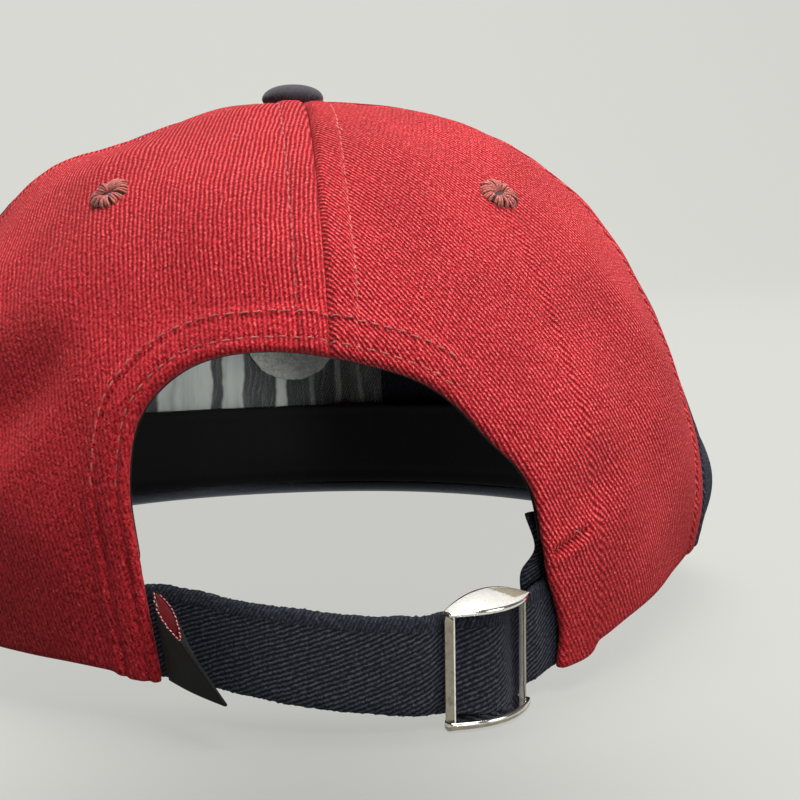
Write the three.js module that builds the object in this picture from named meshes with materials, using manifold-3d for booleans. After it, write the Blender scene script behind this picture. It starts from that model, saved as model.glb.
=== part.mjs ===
// Flat brim cap: six twill panels round an open arch, with a strap and slider buckle behind and a flat peak in front.
// Millimetres, +Z up. The peak points to -Y, the arch to +Y, and the wearer's left is +X.
// Azimuth is measured from the rear (+Y) towards +X; climb runs from 0 at the rim to 90 degrees at the crown's top.
import * as THREE from 'three';
import { mergeVertices } from 'three/addons/utils/BufferGeometryUtils.js';
import Module from 'manifold-3d';

const wasm = await Module();
wasm.setup();

// Driving dimensions
const GAP = 0.3;
const CLOTH = 1.6;
const LAYER_GAP = 0.7;
const SOLVE_STEPS = 40;
const NORMAL_STEP = 0.5;
const LOWEST_CLIMB = 0.05;
const WELD = 1e-4;

const CROWN = {
  halfWidthLeft: 86, halfWidthRight: 82.5, halfLengthRear: 94, halfLengthFront: 98.5, rimExponent: 2.1,
  topLevel: 110, riseExponent: 2.5, shrinkExponent: 2.34, bulge: 0.016, bulgeEnd: 0.6, topShift: -1.8,
  lean: 0.015, leanPivot: 98, topClimb: 87.5,
};

// Seams run from the rim to the button: one behind, one in front, and two on each side.
// The rear one on each side swings forwards as it rises; span is how far round it draws the cloth.
const SIDE_SEAM = 66;
const FRONT_SEAM = 123;
const SEAM_SWING = { left: 10, right: 4.5, span: 40, fullAtRise: 0.5 };
const PANEL = { azimuthSteps: 10, climbSteps: 12, climbPower: 1.35 };
const PANELS = [
  { name: 'panel_back_left', from: 0, to: SIDE_SEAM, back: true },
  { name: 'panel_side_left', from: SIDE_SEAM, to: FRONT_SEAM, back: false },
  { name: 'panel_front_left', from: FRONT_SEAM, to: 180, back: false },
  { name: 'panel_front_right', from: 180, to: 360 - FRONT_SEAM, back: false },
  { name: 'panel_side_right', from: 360 - FRONT_SEAM, to: 360 - SIDE_SEAM, back: false },
  { name: 'panel_back_right', from: 360 - SIDE_SEAM, to: 360, back: true },
];

// Rim height above the floor behind the peak's ends; in front of them the rim lies on the peak's plane.
const PEAK_END_AZIMUTH = 95;
const PEAK = {
  frontLevel: 9.9, slope: 0.041, thickness: 3.2, length: 72, halfWidth: 93, widestAt: -36, exponent: 2.5,
  inset: 3.3, endLength: 31, endSteps: 6, edgeRound: 1.1, edgeSegments: 2, outlineSteps: 40,
};
const ABOVE_FLOOR = { side: 400, height: 100 };
const RIM_LIFT = [
  { azimuth: -65, lift: 15 },
  { azimuth: -45, lift: 11.9 },
  { azimuth: -35, lift: 8.4 },
  { azimuth: -27, lift: 5 },
  { azimuth: 18, lift: 7.6 },
  { azimuth: 27, lift: 9.6 },
  { azimuth: 42, lift: 10.9 },
  { azimuth: 60, lift: 11.6 },
];

// Soft dents in the cloth, or bulges where the depth is negative; slant moves one's azimuth as it rises.
const DENTS = [
  { azimuth: 40, rise: 0.42, azimuthSpan: 7, riseSpan: 0.12, slant: -50, depth: 2.4 },
  { azimuth: 50, rise: 0.16, azimuthSpan: 8, riseSpan: 0.1, slant: 0, depth: 1.6 },
  { azimuth: 70, rise: 0.945, azimuthSpan: 30, riseSpan: 0.06, slant: 0, depth: 2.6 },
  { azimuth: -44, rise: 0.5, azimuthSpan: 8, riseSpan: 0.14, slant: 40, depth: 1.8 },
  { azimuth: -34, rise: 0.27, azimuthSpan: 5, riseSpan: 0.05, slant: 0, depth: 1 },
  { azimuth: -84, rise: 0.12, azimuthSpan: 19, riseSpan: 0.15, slant: 0, depth: -7.6 },
  { azimuth: 84, rise: 0.14, azimuthSpan: 17, riseSpan: 0.16, slant: 0, depth: -3 },
  { azimuth: 105, rise: 0.5, azimuthSpan: 10, riseSpan: 0.14, slant: 30, depth: 2 },
  { azimuth: -112, rise: 0.55, azimuthSpan: 11, riseSpan: 0.14, slant: -30, depth: 1.8 },
];

// The arch's edge seen from behind, from the left foot over the top to the right foot.
const ARCH_OUTLINE = [
  { x: 28.2, level: 4 },
  { x: 31.6, level: 28 },
  { x: 32.8, level: 40.8 },
  { x: 30.3, level: 51.5 },
  { x: 21.6, level: 58.7 },
  { x: 8, level: 60.4 },
  { x: -8.1, level: 57.3 },
  { x: -17.9, level: 52.9 },
  { x: -25.8, level: 45.1 },
  { x: -33.2, level: 36.5 },
  { x: -35.8, level: 22 },
  { x: -38.5, level: 11 },
  { x: -37.3, level: 2 },
];
const ARCH_CUT = { front: 50, back: 120, under: -5, steps: 30 };
const ARCH_TAPE = {
  thickness: 0.8, outside: 5, inside: 0.7, fromAzimuth: -46, toAzimuth: 42, low: 27.5, high: 71,
  azimuthSteps: 24, climbSteps: 6,
};

const EYELET = {
  rise: 0.774, outerRadius: 3.5, shoulderRadius: 3.15, crestRadius: 2.1, barrelRadius: 2, holeRadius: 0.8,
  shoulderHeight: 0.8, crestHeight: 1.1, lipHeight: 0.55, drillLength: 6.4, sides: 10,
};
const EYELETS = [
  { name: 'eyelet_back_left', azimuth: 35.7, panel: 'panel_back_left' },
  { name: 'eyelet_side_left', azimuth: 94, panel: 'panel_side_left' },
  { name: 'eyelet_front_left', azimuth: 151, panel: 'panel_front_left' },
  { name: 'eyelet_front_right', azimuth: 209, panel: 'panel_front_right' },
  { name: 'eyelet_side_right', azimuth: 266, panel: 'panel_side_right' },
  { name: 'eyelet_back_right', azimuth: 325.6, panel: 'panel_back_right' },
];
const BUTTON = {
  radius: 6.8, underRadius: 6.4, height: 4.2, plugRadius: 3.6, plugDepth: 1.5, skirt: 1.2, offset: 0.9,
  sides: 20, domeSteps: 5,
};

const BAND = { from: 34, to: 320, height: 23, thickness: 1.2, topLean: 3, azimuthSteps: 44, climbSteps: 3 };
const FILM = {
  from: 144, to: 200, low: 20, topClimb: 46, thickness: 0.6, crinkles: 9, crinkleDepth: 0.5, lowShare: 0.4,
  azimuthSteps: 36, climbSteps: 3,
};
const PATCH = { radius: 13, thickness: 0.8, azimuth: 180.8, level: 52.4, inset: 6.2, sides: 24 };

// The strap runs behind the buckle's outer bars and over its middle bar. Level is the height of the strap's middle.
const STRAP = { width: 15.4, thickness: 1.5, steps: 72, overBar: 2.2, behindBar: -1.5, settle: 5, samples: 400 };
const STRAP_PATH = [
  { x: 45.4, y: 77.2, level: 17.9 },
  { x: 35.2, y: 83.1, level: 15.8 },
  { x: 27.6, y: 86.8, level: 15.7 },
  { x: 14.5, y: 94, level: 14.1 },
  { x: 0, y: 97.8, level: 12 },
  { x: -10, y: 98.6, level: 11.1 },
  { x: -16, y: 97.7, level: 10.6 },
  { x: -23.7, y: 93.2, level: 10.1 },
  { x: -31.4, y: 87.2, level: 10.6 },
  { x: -36, y: 82.6, level: 11.8 },
  { x: -41, y: 78.8, level: 13 },
  { x: -49.9, y: 72.2, level: 15.9 },
];
const BUCKLE_ROW = 7;
const BUCKLE = {
  bar: 1.4, midBarRadius: 0.9, midBarSides: 10, innerHalf: 8.5, cheek: 1.45, halfWidth: 9.1,
  bulge: 4.6, backBulge: 4.2, arcSegments: 12,
};

const TAIL = { thickness: 1.4, inset: 5, azimuthSteps: 4 };
const TAIL_ROWS = [
  { level: 17, from: -25, to: -35 },
  { level: 21.5, from: -24.8, to: -35 },
  { level: 25.5, from: -27, to: -35 },
  { level: 31.7, from: -26, to: -33 },
];

// The tag is a folded loop sewn at the arch's left foot: its root and fold lines, top and bottom.
const TAG = {
  rootTop: [29.5, 88.5, 22.5], rootLow: [27.5, 89.1, 8.1], foldTop: [25.6, 95.5, 16.7], foldLow: [19.1, 98.5, 6.7],
  layer: 0.8, hollow: 0.7, steps: 3, foldSegments: 6,
};

const COLOUR = {
  red: 0x8f2028, navy: 0x14182a, black: 0x0c0c0d, thread: 0x8a3a3c, metal: 0xc9cac4, film: 0xb9c3bb, patch: 0xa7aaa2,
};

const rad = THREE.MathUtils.degToRad;
const clamp = THREE.MathUtils.clamp;

// Signed azimuth in degrees, from -180 to 180.
function signedAzimuth(azimuth) {
  return THREE.MathUtils.euclideanModulo(azimuth + 180, 360) - 180;
}

// Plan of the rim: an oval, a little squarer than an ellipse.
function rimPlan(azimuth) {
  const side = Math.sin(rad(azimuth));
  const back = Math.cos(rad(azimuth));
  const n = CROWN.rimExponent;
  const square = (Math.abs(side) ** n + Math.abs(back) ** n) ** (-1 / n);
  const halfWidth = side > 0 ? CROWN.halfWidthLeft : CROWN.halfWidthRight;
  const halfLength = back > 0 ? CROWN.halfLengthRear : CROWN.halfLengthFront;
  return { x: halfWidth * side * square, y: halfLength * back * square };
}

// Level of the crown's lower edge over the peak, before the lean.
function peakLevel(y) {
  return PEAK.frontLevel + PEAK.slope * (y + CROWN.halfLengthFront);
}

const liftCurve = new THREE.SplineCurve([
  new THREE.Vector2(-PEAK_END_AZIMUTH, peakLevel(rimPlan(-PEAK_END_AZIMUTH).y)),
  ...RIM_LIFT.map((row) => new THREE.Vector2(row.azimuth, row.lift)),
  new THREE.Vector2(PEAK_END_AZIMUTH, peakLevel(rimPlan(PEAK_END_AZIMUTH).y)),
]);

// Finds where a rising function reaches a value, between two ends.
function solveRising(fn, value, low, high) {
  let a = low;
  let b = high;
  for (let i = 0; i < SOLVE_STEPS; i += 1) {
    const middle = (a + b) / 2;
    if (fn(middle) < value) a = middle;
    else b = middle;
  }
  return (a + b) / 2;
}

function rimLift(azimuth) {
  const signed = signedAzimuth(azimuth);
  if (Math.abs(signed) >= PEAK_END_AZIMUTH) return peakLevel(rimPlan(signed).y);
  const t = solveRising((u) => liftCurve.getPoint(u).x, signed, 0, 1);
  return liftCurve.getPoint(t).y;
}

// Height lost or gained because the crown leans a little towards the peak.
function leanAt(y) {
  return CROWN.lean * (y - CROWN.leanPivot);
}

// Share of the crown's height reached at a climb.
function riseOf(climb) {
  return Math.sin(rad(climb)) ** (2 / CROWN.riseExponent);
}

// A point of the crown's smooth outer face.
function crownPoint(azimuth, climb) {
  const rise = riseOf(climb);
  const swell = 1 + CROWN.bulge * Math.sin(Math.PI * Math.min(rise / CROWN.bulgeEnd, 1));
  const shrink = Math.cos(rad(climb)) ** (2 / CROWN.shrinkExponent) * swell;
  const plan = rimPlan(azimuth);
  const y = plan.y * shrink + CROWN.topShift * rise;
  const z = rimLift(azimuth) * (1 - rise) + CROWN.topLevel * rise + leanAt(y);
  return new THREE.Vector3(plan.x * shrink, y, z);
}

function crownNormal(azimuth, climb) {
  const low = Math.max(climb - NORMAL_STEP, LOWEST_CLIMB);
  const alongRim = crownPoint(azimuth + NORMAL_STEP, climb).sub(crownPoint(azimuth - NORMAL_STEP, climb));
  const upward = crownPoint(azimuth, climb + NORMAL_STEP).sub(crownPoint(azimuth, low));
  return upward.cross(alongRim).normalize();
}

function dentDepth(azimuth, climb) {
  const rise = riseOf(climb);
  let depth = 0;
  for (const dent of DENTS) {
    const up = rise - dent.rise;
    const across = signedAzimuth(azimuth - dent.azimuth - dent.slant * up) / dent.azimuthSpan;
    depth += dent.depth * Math.exp(-(across ** 2) - (up / dent.riseSpan) ** 2);
  }
  return depth;
}

// A point at a depth below the crown's dented outer face.
function skinPoint(azimuth, climb, inset) {
  const normal = crownNormal(azimuth, climb);
  return crownPoint(azimuth, climb).addScaledVector(normal, -inset - dentDepth(azimuth, climb));
}

// Climb at which the crown reaches a level, or a height above the rim.
function climbAtLevel(azimuth, level) {
  return solveRising((climb) => crownPoint(azimuth, climb).z, level, 0, CROWN.topClimb);
}

function climbAtHeight(azimuth, height) {
  return climbAtLevel(azimuth, crownPoint(azimuth, 0).z + height);
}

// Solid geometry helpers
function orientOutward(positions, triangles) {
  const a = new THREE.Vector3();
  const b = new THREE.Vector3();
  const c = new THREE.Vector3();
  let volume = 0;
  for (let i = 0; i < triangles.length; i += 3) {
    a.fromArray(positions, triangles[i] * 3);
    b.fromArray(positions, triangles[i + 1] * 3);
    c.fromArray(positions, triangles[i + 2] * 3);
    volume += a.dot(b.cross(c));
  }
  if (volume < 0) {
    for (let i = 0; i < triangles.length; i += 3) {
      [triangles[i + 1], triangles[i + 2]] = [triangles[i + 2], triangles[i + 1]];
    }
  }
}

function solidGeometry(positions, triangles) {
  orientOutward(positions, triangles);
  const geometry = new THREE.BufferGeometry();
  geometry.setAttribute('position', new THREE.Float32BufferAttribute(positions, 3));
  geometry.setIndex(triangles);
  return geometry;
}

// A closed wall between two faces, each given as a function of two fractions from 0 to 1.
function wallSolid(columns, rows, outerFace, innerFace) {
  const positions = [];
  const triangles = [];
  const faceSize = (columns + 1) * (rows + 1);
  for (const face of [outerFace, innerFace]) {
    for (let i = 0; i <= columns; i += 1) {
      for (let j = 0; j <= rows; j += 1) {
        positions.push(...face(i / columns, j / rows).toArray());
      }
    }
  }
  const at = (layer, i, j) => layer * faceSize + i * (rows + 1) + j;
  const quad = (a, b, c, d) => triangles.push(a, b, c, a, c, d);
  for (let i = 0; i < columns; i += 1) {
    for (let j = 0; j < rows; j += 1) {
      quad(at(0, i, j), at(0, i + 1, j), at(0, i + 1, j + 1), at(0, i, j + 1));
      quad(at(1, i, j), at(1, i, j + 1), at(1, i + 1, j + 1), at(1, i + 1, j));
    }
    quad(at(0, i, 0), at(1, i, 0), at(1, i + 1, 0), at(0, i + 1, 0));
    quad(at(0, i, rows), at(0, i + 1, rows), at(1, i + 1, rows), at(1, i, rows));
  }
  for (let j = 0; j < rows; j += 1) {
    quad(at(0, 0, j), at(0, 0, j + 1), at(1, 0, j + 1), at(1, 0, j));
    quad(at(0, columns, j), at(1, columns, j), at(1, columns, j + 1), at(0, columns, j + 1));
  }
  return solidGeometry(positions, triangles);
}

// A closed body lofted through four-cornered sections.
function ribbonSolid(sections) {
  const positions = sections.flat().flatMap((point) => point.toArray());
  const triangles = [];
  const quad = (a, b, c, d) => triangles.push(a, b, c, a, c, d);
  for (let i = 0; i + 1 < sections.length; i += 1) {
    for (let k = 0; k < 4; k += 1) {
      const next = (k + 1) % 4;
      quad(i * 4 + k, i * 4 + next, (i + 1) * 4 + next, (i + 1) * 4 + k);
    }
  }
  const last = (sections.length - 1) * 4;
  quad(3, 2, 1, 0);
  quad(last, last + 1, last + 2, last + 3);
  return solidGeometry(positions, triangles);
}

function toManifold(geometry) {
  const bare = geometry.clone();
  bare.deleteAttribute('normal');
  bare.deleteAttribute('uv');
  const merged = mergeVertices(bare, WELD);
  const vertProperties = new Float32Array(merged.attributes.position.array);
  const triVerts = new Uint32Array(merged.index.array);
  return new wasm.Manifold(new wasm.Mesh({ numProp: 3, vertProperties, triVerts }));
}

function fromManifold(solid) {
  const mesh = solid.getMesh();
  const geometry = new THREE.BufferGeometry();
  geometry.setAttribute('position', new THREE.BufferAttribute(new Float32Array(mesh.vertProperties), 3));
  geometry.setIndex(new THREE.BufferAttribute(new Uint32Array(mesh.triVerts), 1));
  return geometry;
}

// A frame whose Z axis is the crown's outward normal at a point on its skin.
function skinFrame(azimuth, climb, inset) {
  const turn = new THREE.Quaternion();
  turn.setFromUnitVectors(new THREE.Vector3(0, 0, 1), crownNormal(azimuth, climb));
  const place = skinPoint(azimuth, climb, inset);
  return new THREE.Matrix4().compose(place, turn, new THREE.Vector3(1, 1, 1));
}

// A wall that follows the crown between two azimuths and two climbs, at two depths.
function crownWall({ columns, rows, azimuthAt, climbAt, outerInset, innerInset }) {
  const face = (insetAt) => (u, v) => {
    const azimuth = azimuthAt(u, v);
    const climb = climbAt(azimuth, v);
    return skinPoint(azimuth, climb, insetAt(azimuth, v));
  };
  return wallSolid(columns, rows, face(outerInset), face(innerInset));
}

// A bar through the rear of the crown with the arch's outline, grown outwards by a margin.
const archCurve = new THREE.SplineCurve(ARCH_OUTLINE.map((row) => new THREE.Vector2(row.x, row.level)));

function archSolid(margin) {
  const edge = [];
  for (let i = 0; i <= ARCH_CUT.steps; i += 1) {
    const along = archCurve.getTangent(i / ARCH_CUT.steps);
    const outward = new THREE.Vector2(along.y, -along.x);
    edge.push(archCurve.getPoint(i / ARCH_CUT.steps).addScaledVector(outward, margin));
  }
  const leftFoot = new THREE.Vector2(edge[0].x, ARCH_CUT.under);
  const rightFoot = new THREE.Vector2(edge[edge.length - 1].x, ARCH_CUT.under);
  const geometry = new THREE.ExtrudeGeometry(new THREE.Shape([leftFoot, ...edge, rightFoot]), {
    depth: ARCH_CUT.back - ARCH_CUT.front, bevelEnabled: false,
  });
  geometry.rotateX(Math.PI / 2);
  geometry.translate(0, ARCH_CUT.back, 0);
  return toManifold(geometry);
}

function eyeletClimb(azimuth) {
  return climbAtLevel(azimuth, crownPoint(azimuth, 0).z + EYELET.rise * (CROWN.topLevel - rimLift(azimuth)));
}

// Panels
function swung(azimuth, climb) {
  const turn = signedAzimuth(azimuth);
  const away = Math.abs(Math.abs(turn) - SIDE_SEAM) / SEAM_SWING.span;
  if (away >= 1) return azimuth;
  const near = Math.cos((away * Math.PI) / 2) ** 2;
  const risen = THREE.MathUtils.smoothstep(riseOf(climb), 0, SEAM_SWING.fullAtRise);
  return azimuth + (turn > 0 ? SEAM_SWING.left : -SEAM_SWING.right) * near * risen;
}

function panelGeometry(panel) {
  const climbAt = (azimuth, v) => CROWN.topClimb * v ** PANEL.climbPower;
  const azimuthAt = (u, v) => {
    const middle = (panel.from + panel.to) / 2;
    const at = crownPoint(middle, climbAt(middle, v));
    const radius = Math.hypot(at.x, at.y);
    const halfGap = THREE.MathUtils.radToDeg(GAP / 2 / radius);
    return swung(THREE.MathUtils.lerp(panel.from + halfGap, panel.to - halfGap, u), climbAt(middle, v));
  };
  const wall = crownWall({
    columns: PANEL.azimuthSteps, rows: PANEL.climbSteps, azimuthAt, climbAt,
    outerInset: () => 0, innerInset: () => CLOTH,
  });
  const eyelet = EYELETS.find((row) => row.panel === panel.name);
  const drillRadius = EYELET.barrelRadius + GAP;
  const drill = new THREE.CylinderGeometry(drillRadius, drillRadius, EYELET.drillLength, EYELET.sides);
  drill.rotateX(Math.PI / 2);
  drill.applyMatrix4(skinFrame(eyelet.azimuth, eyeletClimb(eyelet.azimuth), CLOTH / 2));
  let solid = toManifold(wall).subtract(toManifold(drill));
  if (panel.back) solid = solid.subtract(archSolid(0));
  return fromManifold(solid);
}

function eyeletGeometry(row) {
  const through = -CLOTH - GAP;
  const profile = [
    [EYELET.holeRadius, through], [EYELET.barrelRadius, through], [EYELET.barrelRadius, GAP],
    [EYELET.outerRadius, GAP], [EYELET.shoulderRadius, EYELET.shoulderHeight],
    [EYELET.crestRadius, EYELET.crestHeight], [EYELET.holeRadius, EYELET.lipHeight], [EYELET.holeRadius, through],
  ];
  const points = profile.map(([radius, height]) => new THREE.Vector2(radius, height));
  const geometry = new THREE.LatheGeometry(points, EYELET.sides);
  geometry.rotateX(Math.PI / 2);
  geometry.applyMatrix4(skinFrame(row.azimuth, eyeletClimb(row.azimuth), 0));
  return geometry;
}

// Covered button, with a plug in the hole where the panels meet
function buttonGeometry() {
  const profile = [
    new THREE.Vector2(0, -BUTTON.plugDepth), new THREE.Vector2(BUTTON.plugRadius, -BUTTON.plugDepth),
    new THREE.Vector2(BUTTON.plugRadius, 0), new THREE.Vector2(BUTTON.underRadius, 0),
  ];
  for (let i = 0; i <= BUTTON.domeSteps; i += 1) {
    const angle = (Math.PI / 2) * (i / BUTTON.domeSteps);
    const radius = i === BUTTON.domeSteps ? 0 : BUTTON.radius * Math.cos(angle);
    profile.push(new THREE.Vector2(radius, BUTTON.skirt + (BUTTON.height - BUTTON.skirt) * Math.sin(angle)));
  }
  const geometry = new THREE.LatheGeometry(profile, BUTTON.sides);
  geometry.rotateX(Math.PI / 2);
  const top = crownPoint(0, 90);
  geometry.translate(top.x + BUTTON.offset, top.y, top.z + GAP);
  return geometry;
}

// Flat peak: a plate between the crown's rim and a rounded outline, laid just under the rim and flat where it rests
function peakOutline() {
  const outer = [];
  const reach = PEAK.length + CROWN.halfLengthFront + PEAK.widestAt;
  for (let i = 0; i <= PEAK.outlineSteps; i += 1) {
    const angle = Math.PI * (i / PEAK.outlineSteps);
    const across = Math.cos(angle);
    const along = Math.sin(angle);
    const power = 2 / PEAK.exponent;
    const x = PEAK.halfWidth * Math.sign(across) * Math.abs(across) ** power;
    outer.push(new THREE.Vector2(x, PEAK.widestAt - reach * along ** power));
  }
  const inner = [];
  for (let i = 0; i <= PEAK.outlineSteps; i += 1) {
    const azimuth = THREE.MathUtils.lerp(-PEAK_END_AZIMUTH, -360 + PEAK_END_AZIMUTH, i / PEAK.outlineSteps);
    const edge = skinPoint(azimuth, 0, PEAK.inset);
    inner.push(new THREE.Vector2(edge.x, edge.y));
  }
  const rear = (side) => {
    const root = Math.abs(crownPoint(side * PEAK_END_AZIMUTH, 0).x) + GAP;
    const corner = [];
    for (let i = 1; i <= PEAK.endSteps; i += 1) {
      const angle = (Math.PI / 2) * (i / PEAK.endSteps);
      const x = root + (PEAK.halfWidth - root) * Math.cos(angle);
      corner.push(new THREE.Vector2(side * x, PEAK.widestAt + PEAK.endLength * Math.sin(angle)));
    }
    return corner;
  };
  return [...outer, ...rear(-1), ...inner, ...rear(1).reverse()];
}

function peakGeometry() {
  const depth = PEAK.thickness - 2 * PEAK.edgeRound;
  const geometry = new THREE.ExtrudeGeometry(new THREE.Shape(peakOutline()), {
    depth, bevelEnabled: true, bevelThickness: PEAK.edgeRound, bevelSize: PEAK.edgeRound,
    bevelOffset: -PEAK.edgeRound, bevelSegments: PEAK.edgeSegments,
  });
  geometry.translate(0, 0, PEAK.edgeRound - PEAK.thickness - GAP);
  const slope = PEAK.slope + CROWN.lean;
  const base = PEAK.frontLevel + PEAK.slope * CROWN.halfLengthFront - CROWN.lean * CROWN.leanPivot;
  const shear = new THREE.Matrix4().set(1, 0, 0, 0, 0, 1, 0, 0, 0, slope, 1, base, 0, 0, 0, 1);
  geometry.applyMatrix4(shear);
  const box = new THREE.BoxGeometry(ABOVE_FLOOR.side, ABOVE_FLOOR.side, ABOVE_FLOOR.height);
  box.translate(0, 0, ABOVE_FLOOR.height / 2);
  return fromManifold(toManifold(geometry).intersect(toManifold(box)));
}

// Tape round the arch, inside the back panels
function archTapeGeometry() {
  const outside = CLOTH + LAYER_GAP;
  const wall = crownWall({
    columns: ARCH_TAPE.azimuthSteps, rows: ARCH_TAPE.climbSteps,
    azimuthAt: (u) => THREE.MathUtils.lerp(ARCH_TAPE.fromAzimuth, ARCH_TAPE.toAzimuth, u),
    climbAt: (azimuth, v) => climbAtLevel(azimuth, THREE.MathUtils.lerp(ARCH_TAPE.low, ARCH_TAPE.high, v)),
    outerInset: () => outside, innerInset: () => outside + ARCH_TAPE.thickness,
  });
  const ring = archSolid(ARCH_TAPE.outside).subtract(archSolid(-ARCH_TAPE.inside));
  return fromManifold(toManifold(wall).intersect(ring));
}

// Sweatband, leaning inwards at its loose upper edge
function bandGeometry() {
  const outside = CLOTH + LAYER_GAP;
  return crownWall({
    columns: BAND.azimuthSteps, rows: BAND.climbSteps,
    azimuthAt: (u) => THREE.MathUtils.lerp(BAND.from, BAND.to, u),
    climbAt: (azimuth, v) => climbAtHeight(azimuth, GAP + BAND.height * v),
    outerInset: (azimuth, v) => outside + BAND.topLean * v,
    innerInset: (azimuth, v) => outside + BAND.topLean * v + BAND.thickness,
  });
}

// Clear crinkled film inside the front panels
function filmGeometry() {
  const turns = (azimuth) => (2 * Math.PI * FILM.crinkles * (azimuth - FILM.from)) / (FILM.to - FILM.from);
  const insetAt = (azimuth, v) => {
    const depth = FILM.crinkleDepth * THREE.MathUtils.lerp(FILM.lowShare, 1, v);
    return CLOTH + LAYER_GAP + depth * (1 + Math.sin(turns(azimuth)));
  };
  return crownWall({
    columns: FILM.azimuthSteps, rows: FILM.climbSteps,
    azimuthAt: (u) => THREE.MathUtils.lerp(FILM.from, FILM.to, u),
    climbAt: (azimuth, v) => THREE.MathUtils.lerp(climbAtHeight(azimuth, FILM.low), FILM.topClimb, v),
    outerInset: insetAt, innerInset: (azimuth, v) => insetAt(azimuth, v) + FILM.thickness,
  });
}

function patchGeometry() {
  const geometry = new THREE.CylinderGeometry(PATCH.radius, PATCH.radius, PATCH.thickness, PATCH.sides);
  geometry.rotateX(Math.PI / 2);
  geometry.applyMatrix4(skinFrame(PATCH.azimuth, climbAtLevel(PATCH.azimuth, PATCH.level), PATCH.inset));
  return geometry;
}

// Strap: a ribbon along the rear of the rim, woven through the buckle
const strapCurve = new THREE.CatmullRomCurve3(STRAP_PATH.map((row) => new THREE.Vector3(row.x, row.y, row.level)));

const BUCKLE_T = BUCKLE_ROW / (STRAP_PATH.length - 1);

function outwardAt(t) {
  const tangent = strapCurve.getTangent(t);
  return new THREE.Vector3(tangent.y, -tangent.x, 0).normalize();
}

// Offset of the strap out of its path where it passes through the buckle.
function weave(distance) {
  const reach = Math.abs(distance);
  const middle = (STRAP.overBar + STRAP.behindBar) / 2;
  const swing = (STRAP.overBar - STRAP.behindBar) / 2;
  const barAt = BUCKLE.halfWidth - BUCKLE.bar / 2;
  if (reach <= barAt) return middle + swing * Math.cos((Math.PI * reach) / barAt);
  const fade = clamp((reach - barAt) / STRAP.settle, 0, 1);
  return STRAP.behindBar * (1 + Math.cos(Math.PI * fade)) / 2;
}

function strapGeometry() {
  const lengths = strapCurve.getLengths(STRAP.samples);
  const total = lengths[lengths.length - 1];
  const buckleAt = lengths[Math.round(STRAP.samples * BUCKLE_T)];
  const sections = [];
  for (let i = 0; i <= STRAP.steps; i += 1) {
    const u = i / STRAP.steps;
    const t = strapCurve.getUtoTmapping(u);
    const outward = outwardAt(t);
    const across = strapCurve.getTangent(t).cross(outward).normalize();
    const middle = strapCurve.getPoint(t).addScaledVector(outward, weave(u * total - buckleAt));
    const corner = (side, face) => middle.clone()
      .addScaledVector(across, side * STRAP.width / 2)
      .addScaledVector(outward, face * STRAP.thickness / 2);
    sections.push([corner(-1, -1), corner(1, -1), corner(1, 1), corner(-1, 1)]);
  }
  return ribbonSolid(sections);
}

// Tucked end of the strap, standing inside the arch's right edge
function tailGeometry() {
  const face = (inset) => (u, v) => {
    const at = v * (TAIL_ROWS.length - 1);
    const low = TAIL_ROWS[Math.min(Math.floor(at), TAIL_ROWS.length - 2)];
    const high = TAIL_ROWS[TAIL_ROWS.indexOf(low) + 1];
    const part = at - TAIL_ROWS.indexOf(low);
    const from = THREE.MathUtils.lerp(low.from, high.from, part);
    const to = THREE.MathUtils.lerp(low.to, high.to, part);
    const azimuth = THREE.MathUtils.lerp(from, to, u);
    return skinPoint(azimuth, climbAtLevel(azimuth, THREE.MathUtils.lerp(low.level, high.level, part)), inset);
  };
  return wallSolid(TAIL.azimuthSteps, TAIL_ROWS.length - 1, face(TAIL.inset), face(TAIL.inset + TAIL.thickness));
}

// Slider buckle: two lens-shaped cheeks joined by two outer bars and a round middle bar, one cast piece
function buckleGeometry() {
  const lens = new THREE.Shape();
  lens.moveTo(-BUCKLE.halfWidth, 0);
  lens.quadraticCurveTo(0, -2 * BUCKLE.backBulge, BUCKLE.halfWidth, 0);
  lens.lineTo(BUCKLE.halfWidth, BUCKLE.bar);
  lens.quadraticCurveTo(0, 2 * BUCKLE.bulge - BUCKLE.bar, -BUCKLE.halfWidth, BUCKLE.bar);
  const cheek = new THREE.ExtrudeGeometry(lens, {
    depth: BUCKLE.cheek, bevelEnabled: false, curveSegments: BUCKLE.arcSegments,
  });
  const span = 2 * BUCKLE.innerHalf + BUCKLE.cheek;
  const upper = cheek.clone().translate(0, 0, BUCKLE.innerHalf);
  const lower = cheek.clone().translate(0, 0, -BUCKLE.innerHalf - BUCKLE.cheek);
  const sideBar = (side) => new THREE.BoxGeometry(BUCKLE.bar, BUCKLE.bar, span)
    .translate(side * (BUCKLE.halfWidth - BUCKLE.bar / 2), BUCKLE.bar / 2, 0);
  const middle = new THREE.CylinderGeometry(BUCKLE.midBarRadius, BUCKLE.midBarRadius, span, BUCKLE.midBarSides);
  middle.rotateX(Math.PI / 2);
  const solid = [upper, lower, sideBar(-1), sideBar(1), middle].map(toManifold).reduce((a, b) => a.add(b));
  const tangent = strapCurve.getTangent(BUCKLE_T);
  const outward = outwardAt(BUCKLE_T);
  const across = tangent.clone().cross(outward).normalize();
  const place = new THREE.Matrix4().makeBasis(tangent.clone().negate(), outward, across.clone().negate());
  const geometry = fromManifold(solid);
  geometry.applyMatrix4(place.setPosition(strapCurve.getPoint(BUCKLE_T)));
  return geometry;
}

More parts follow.
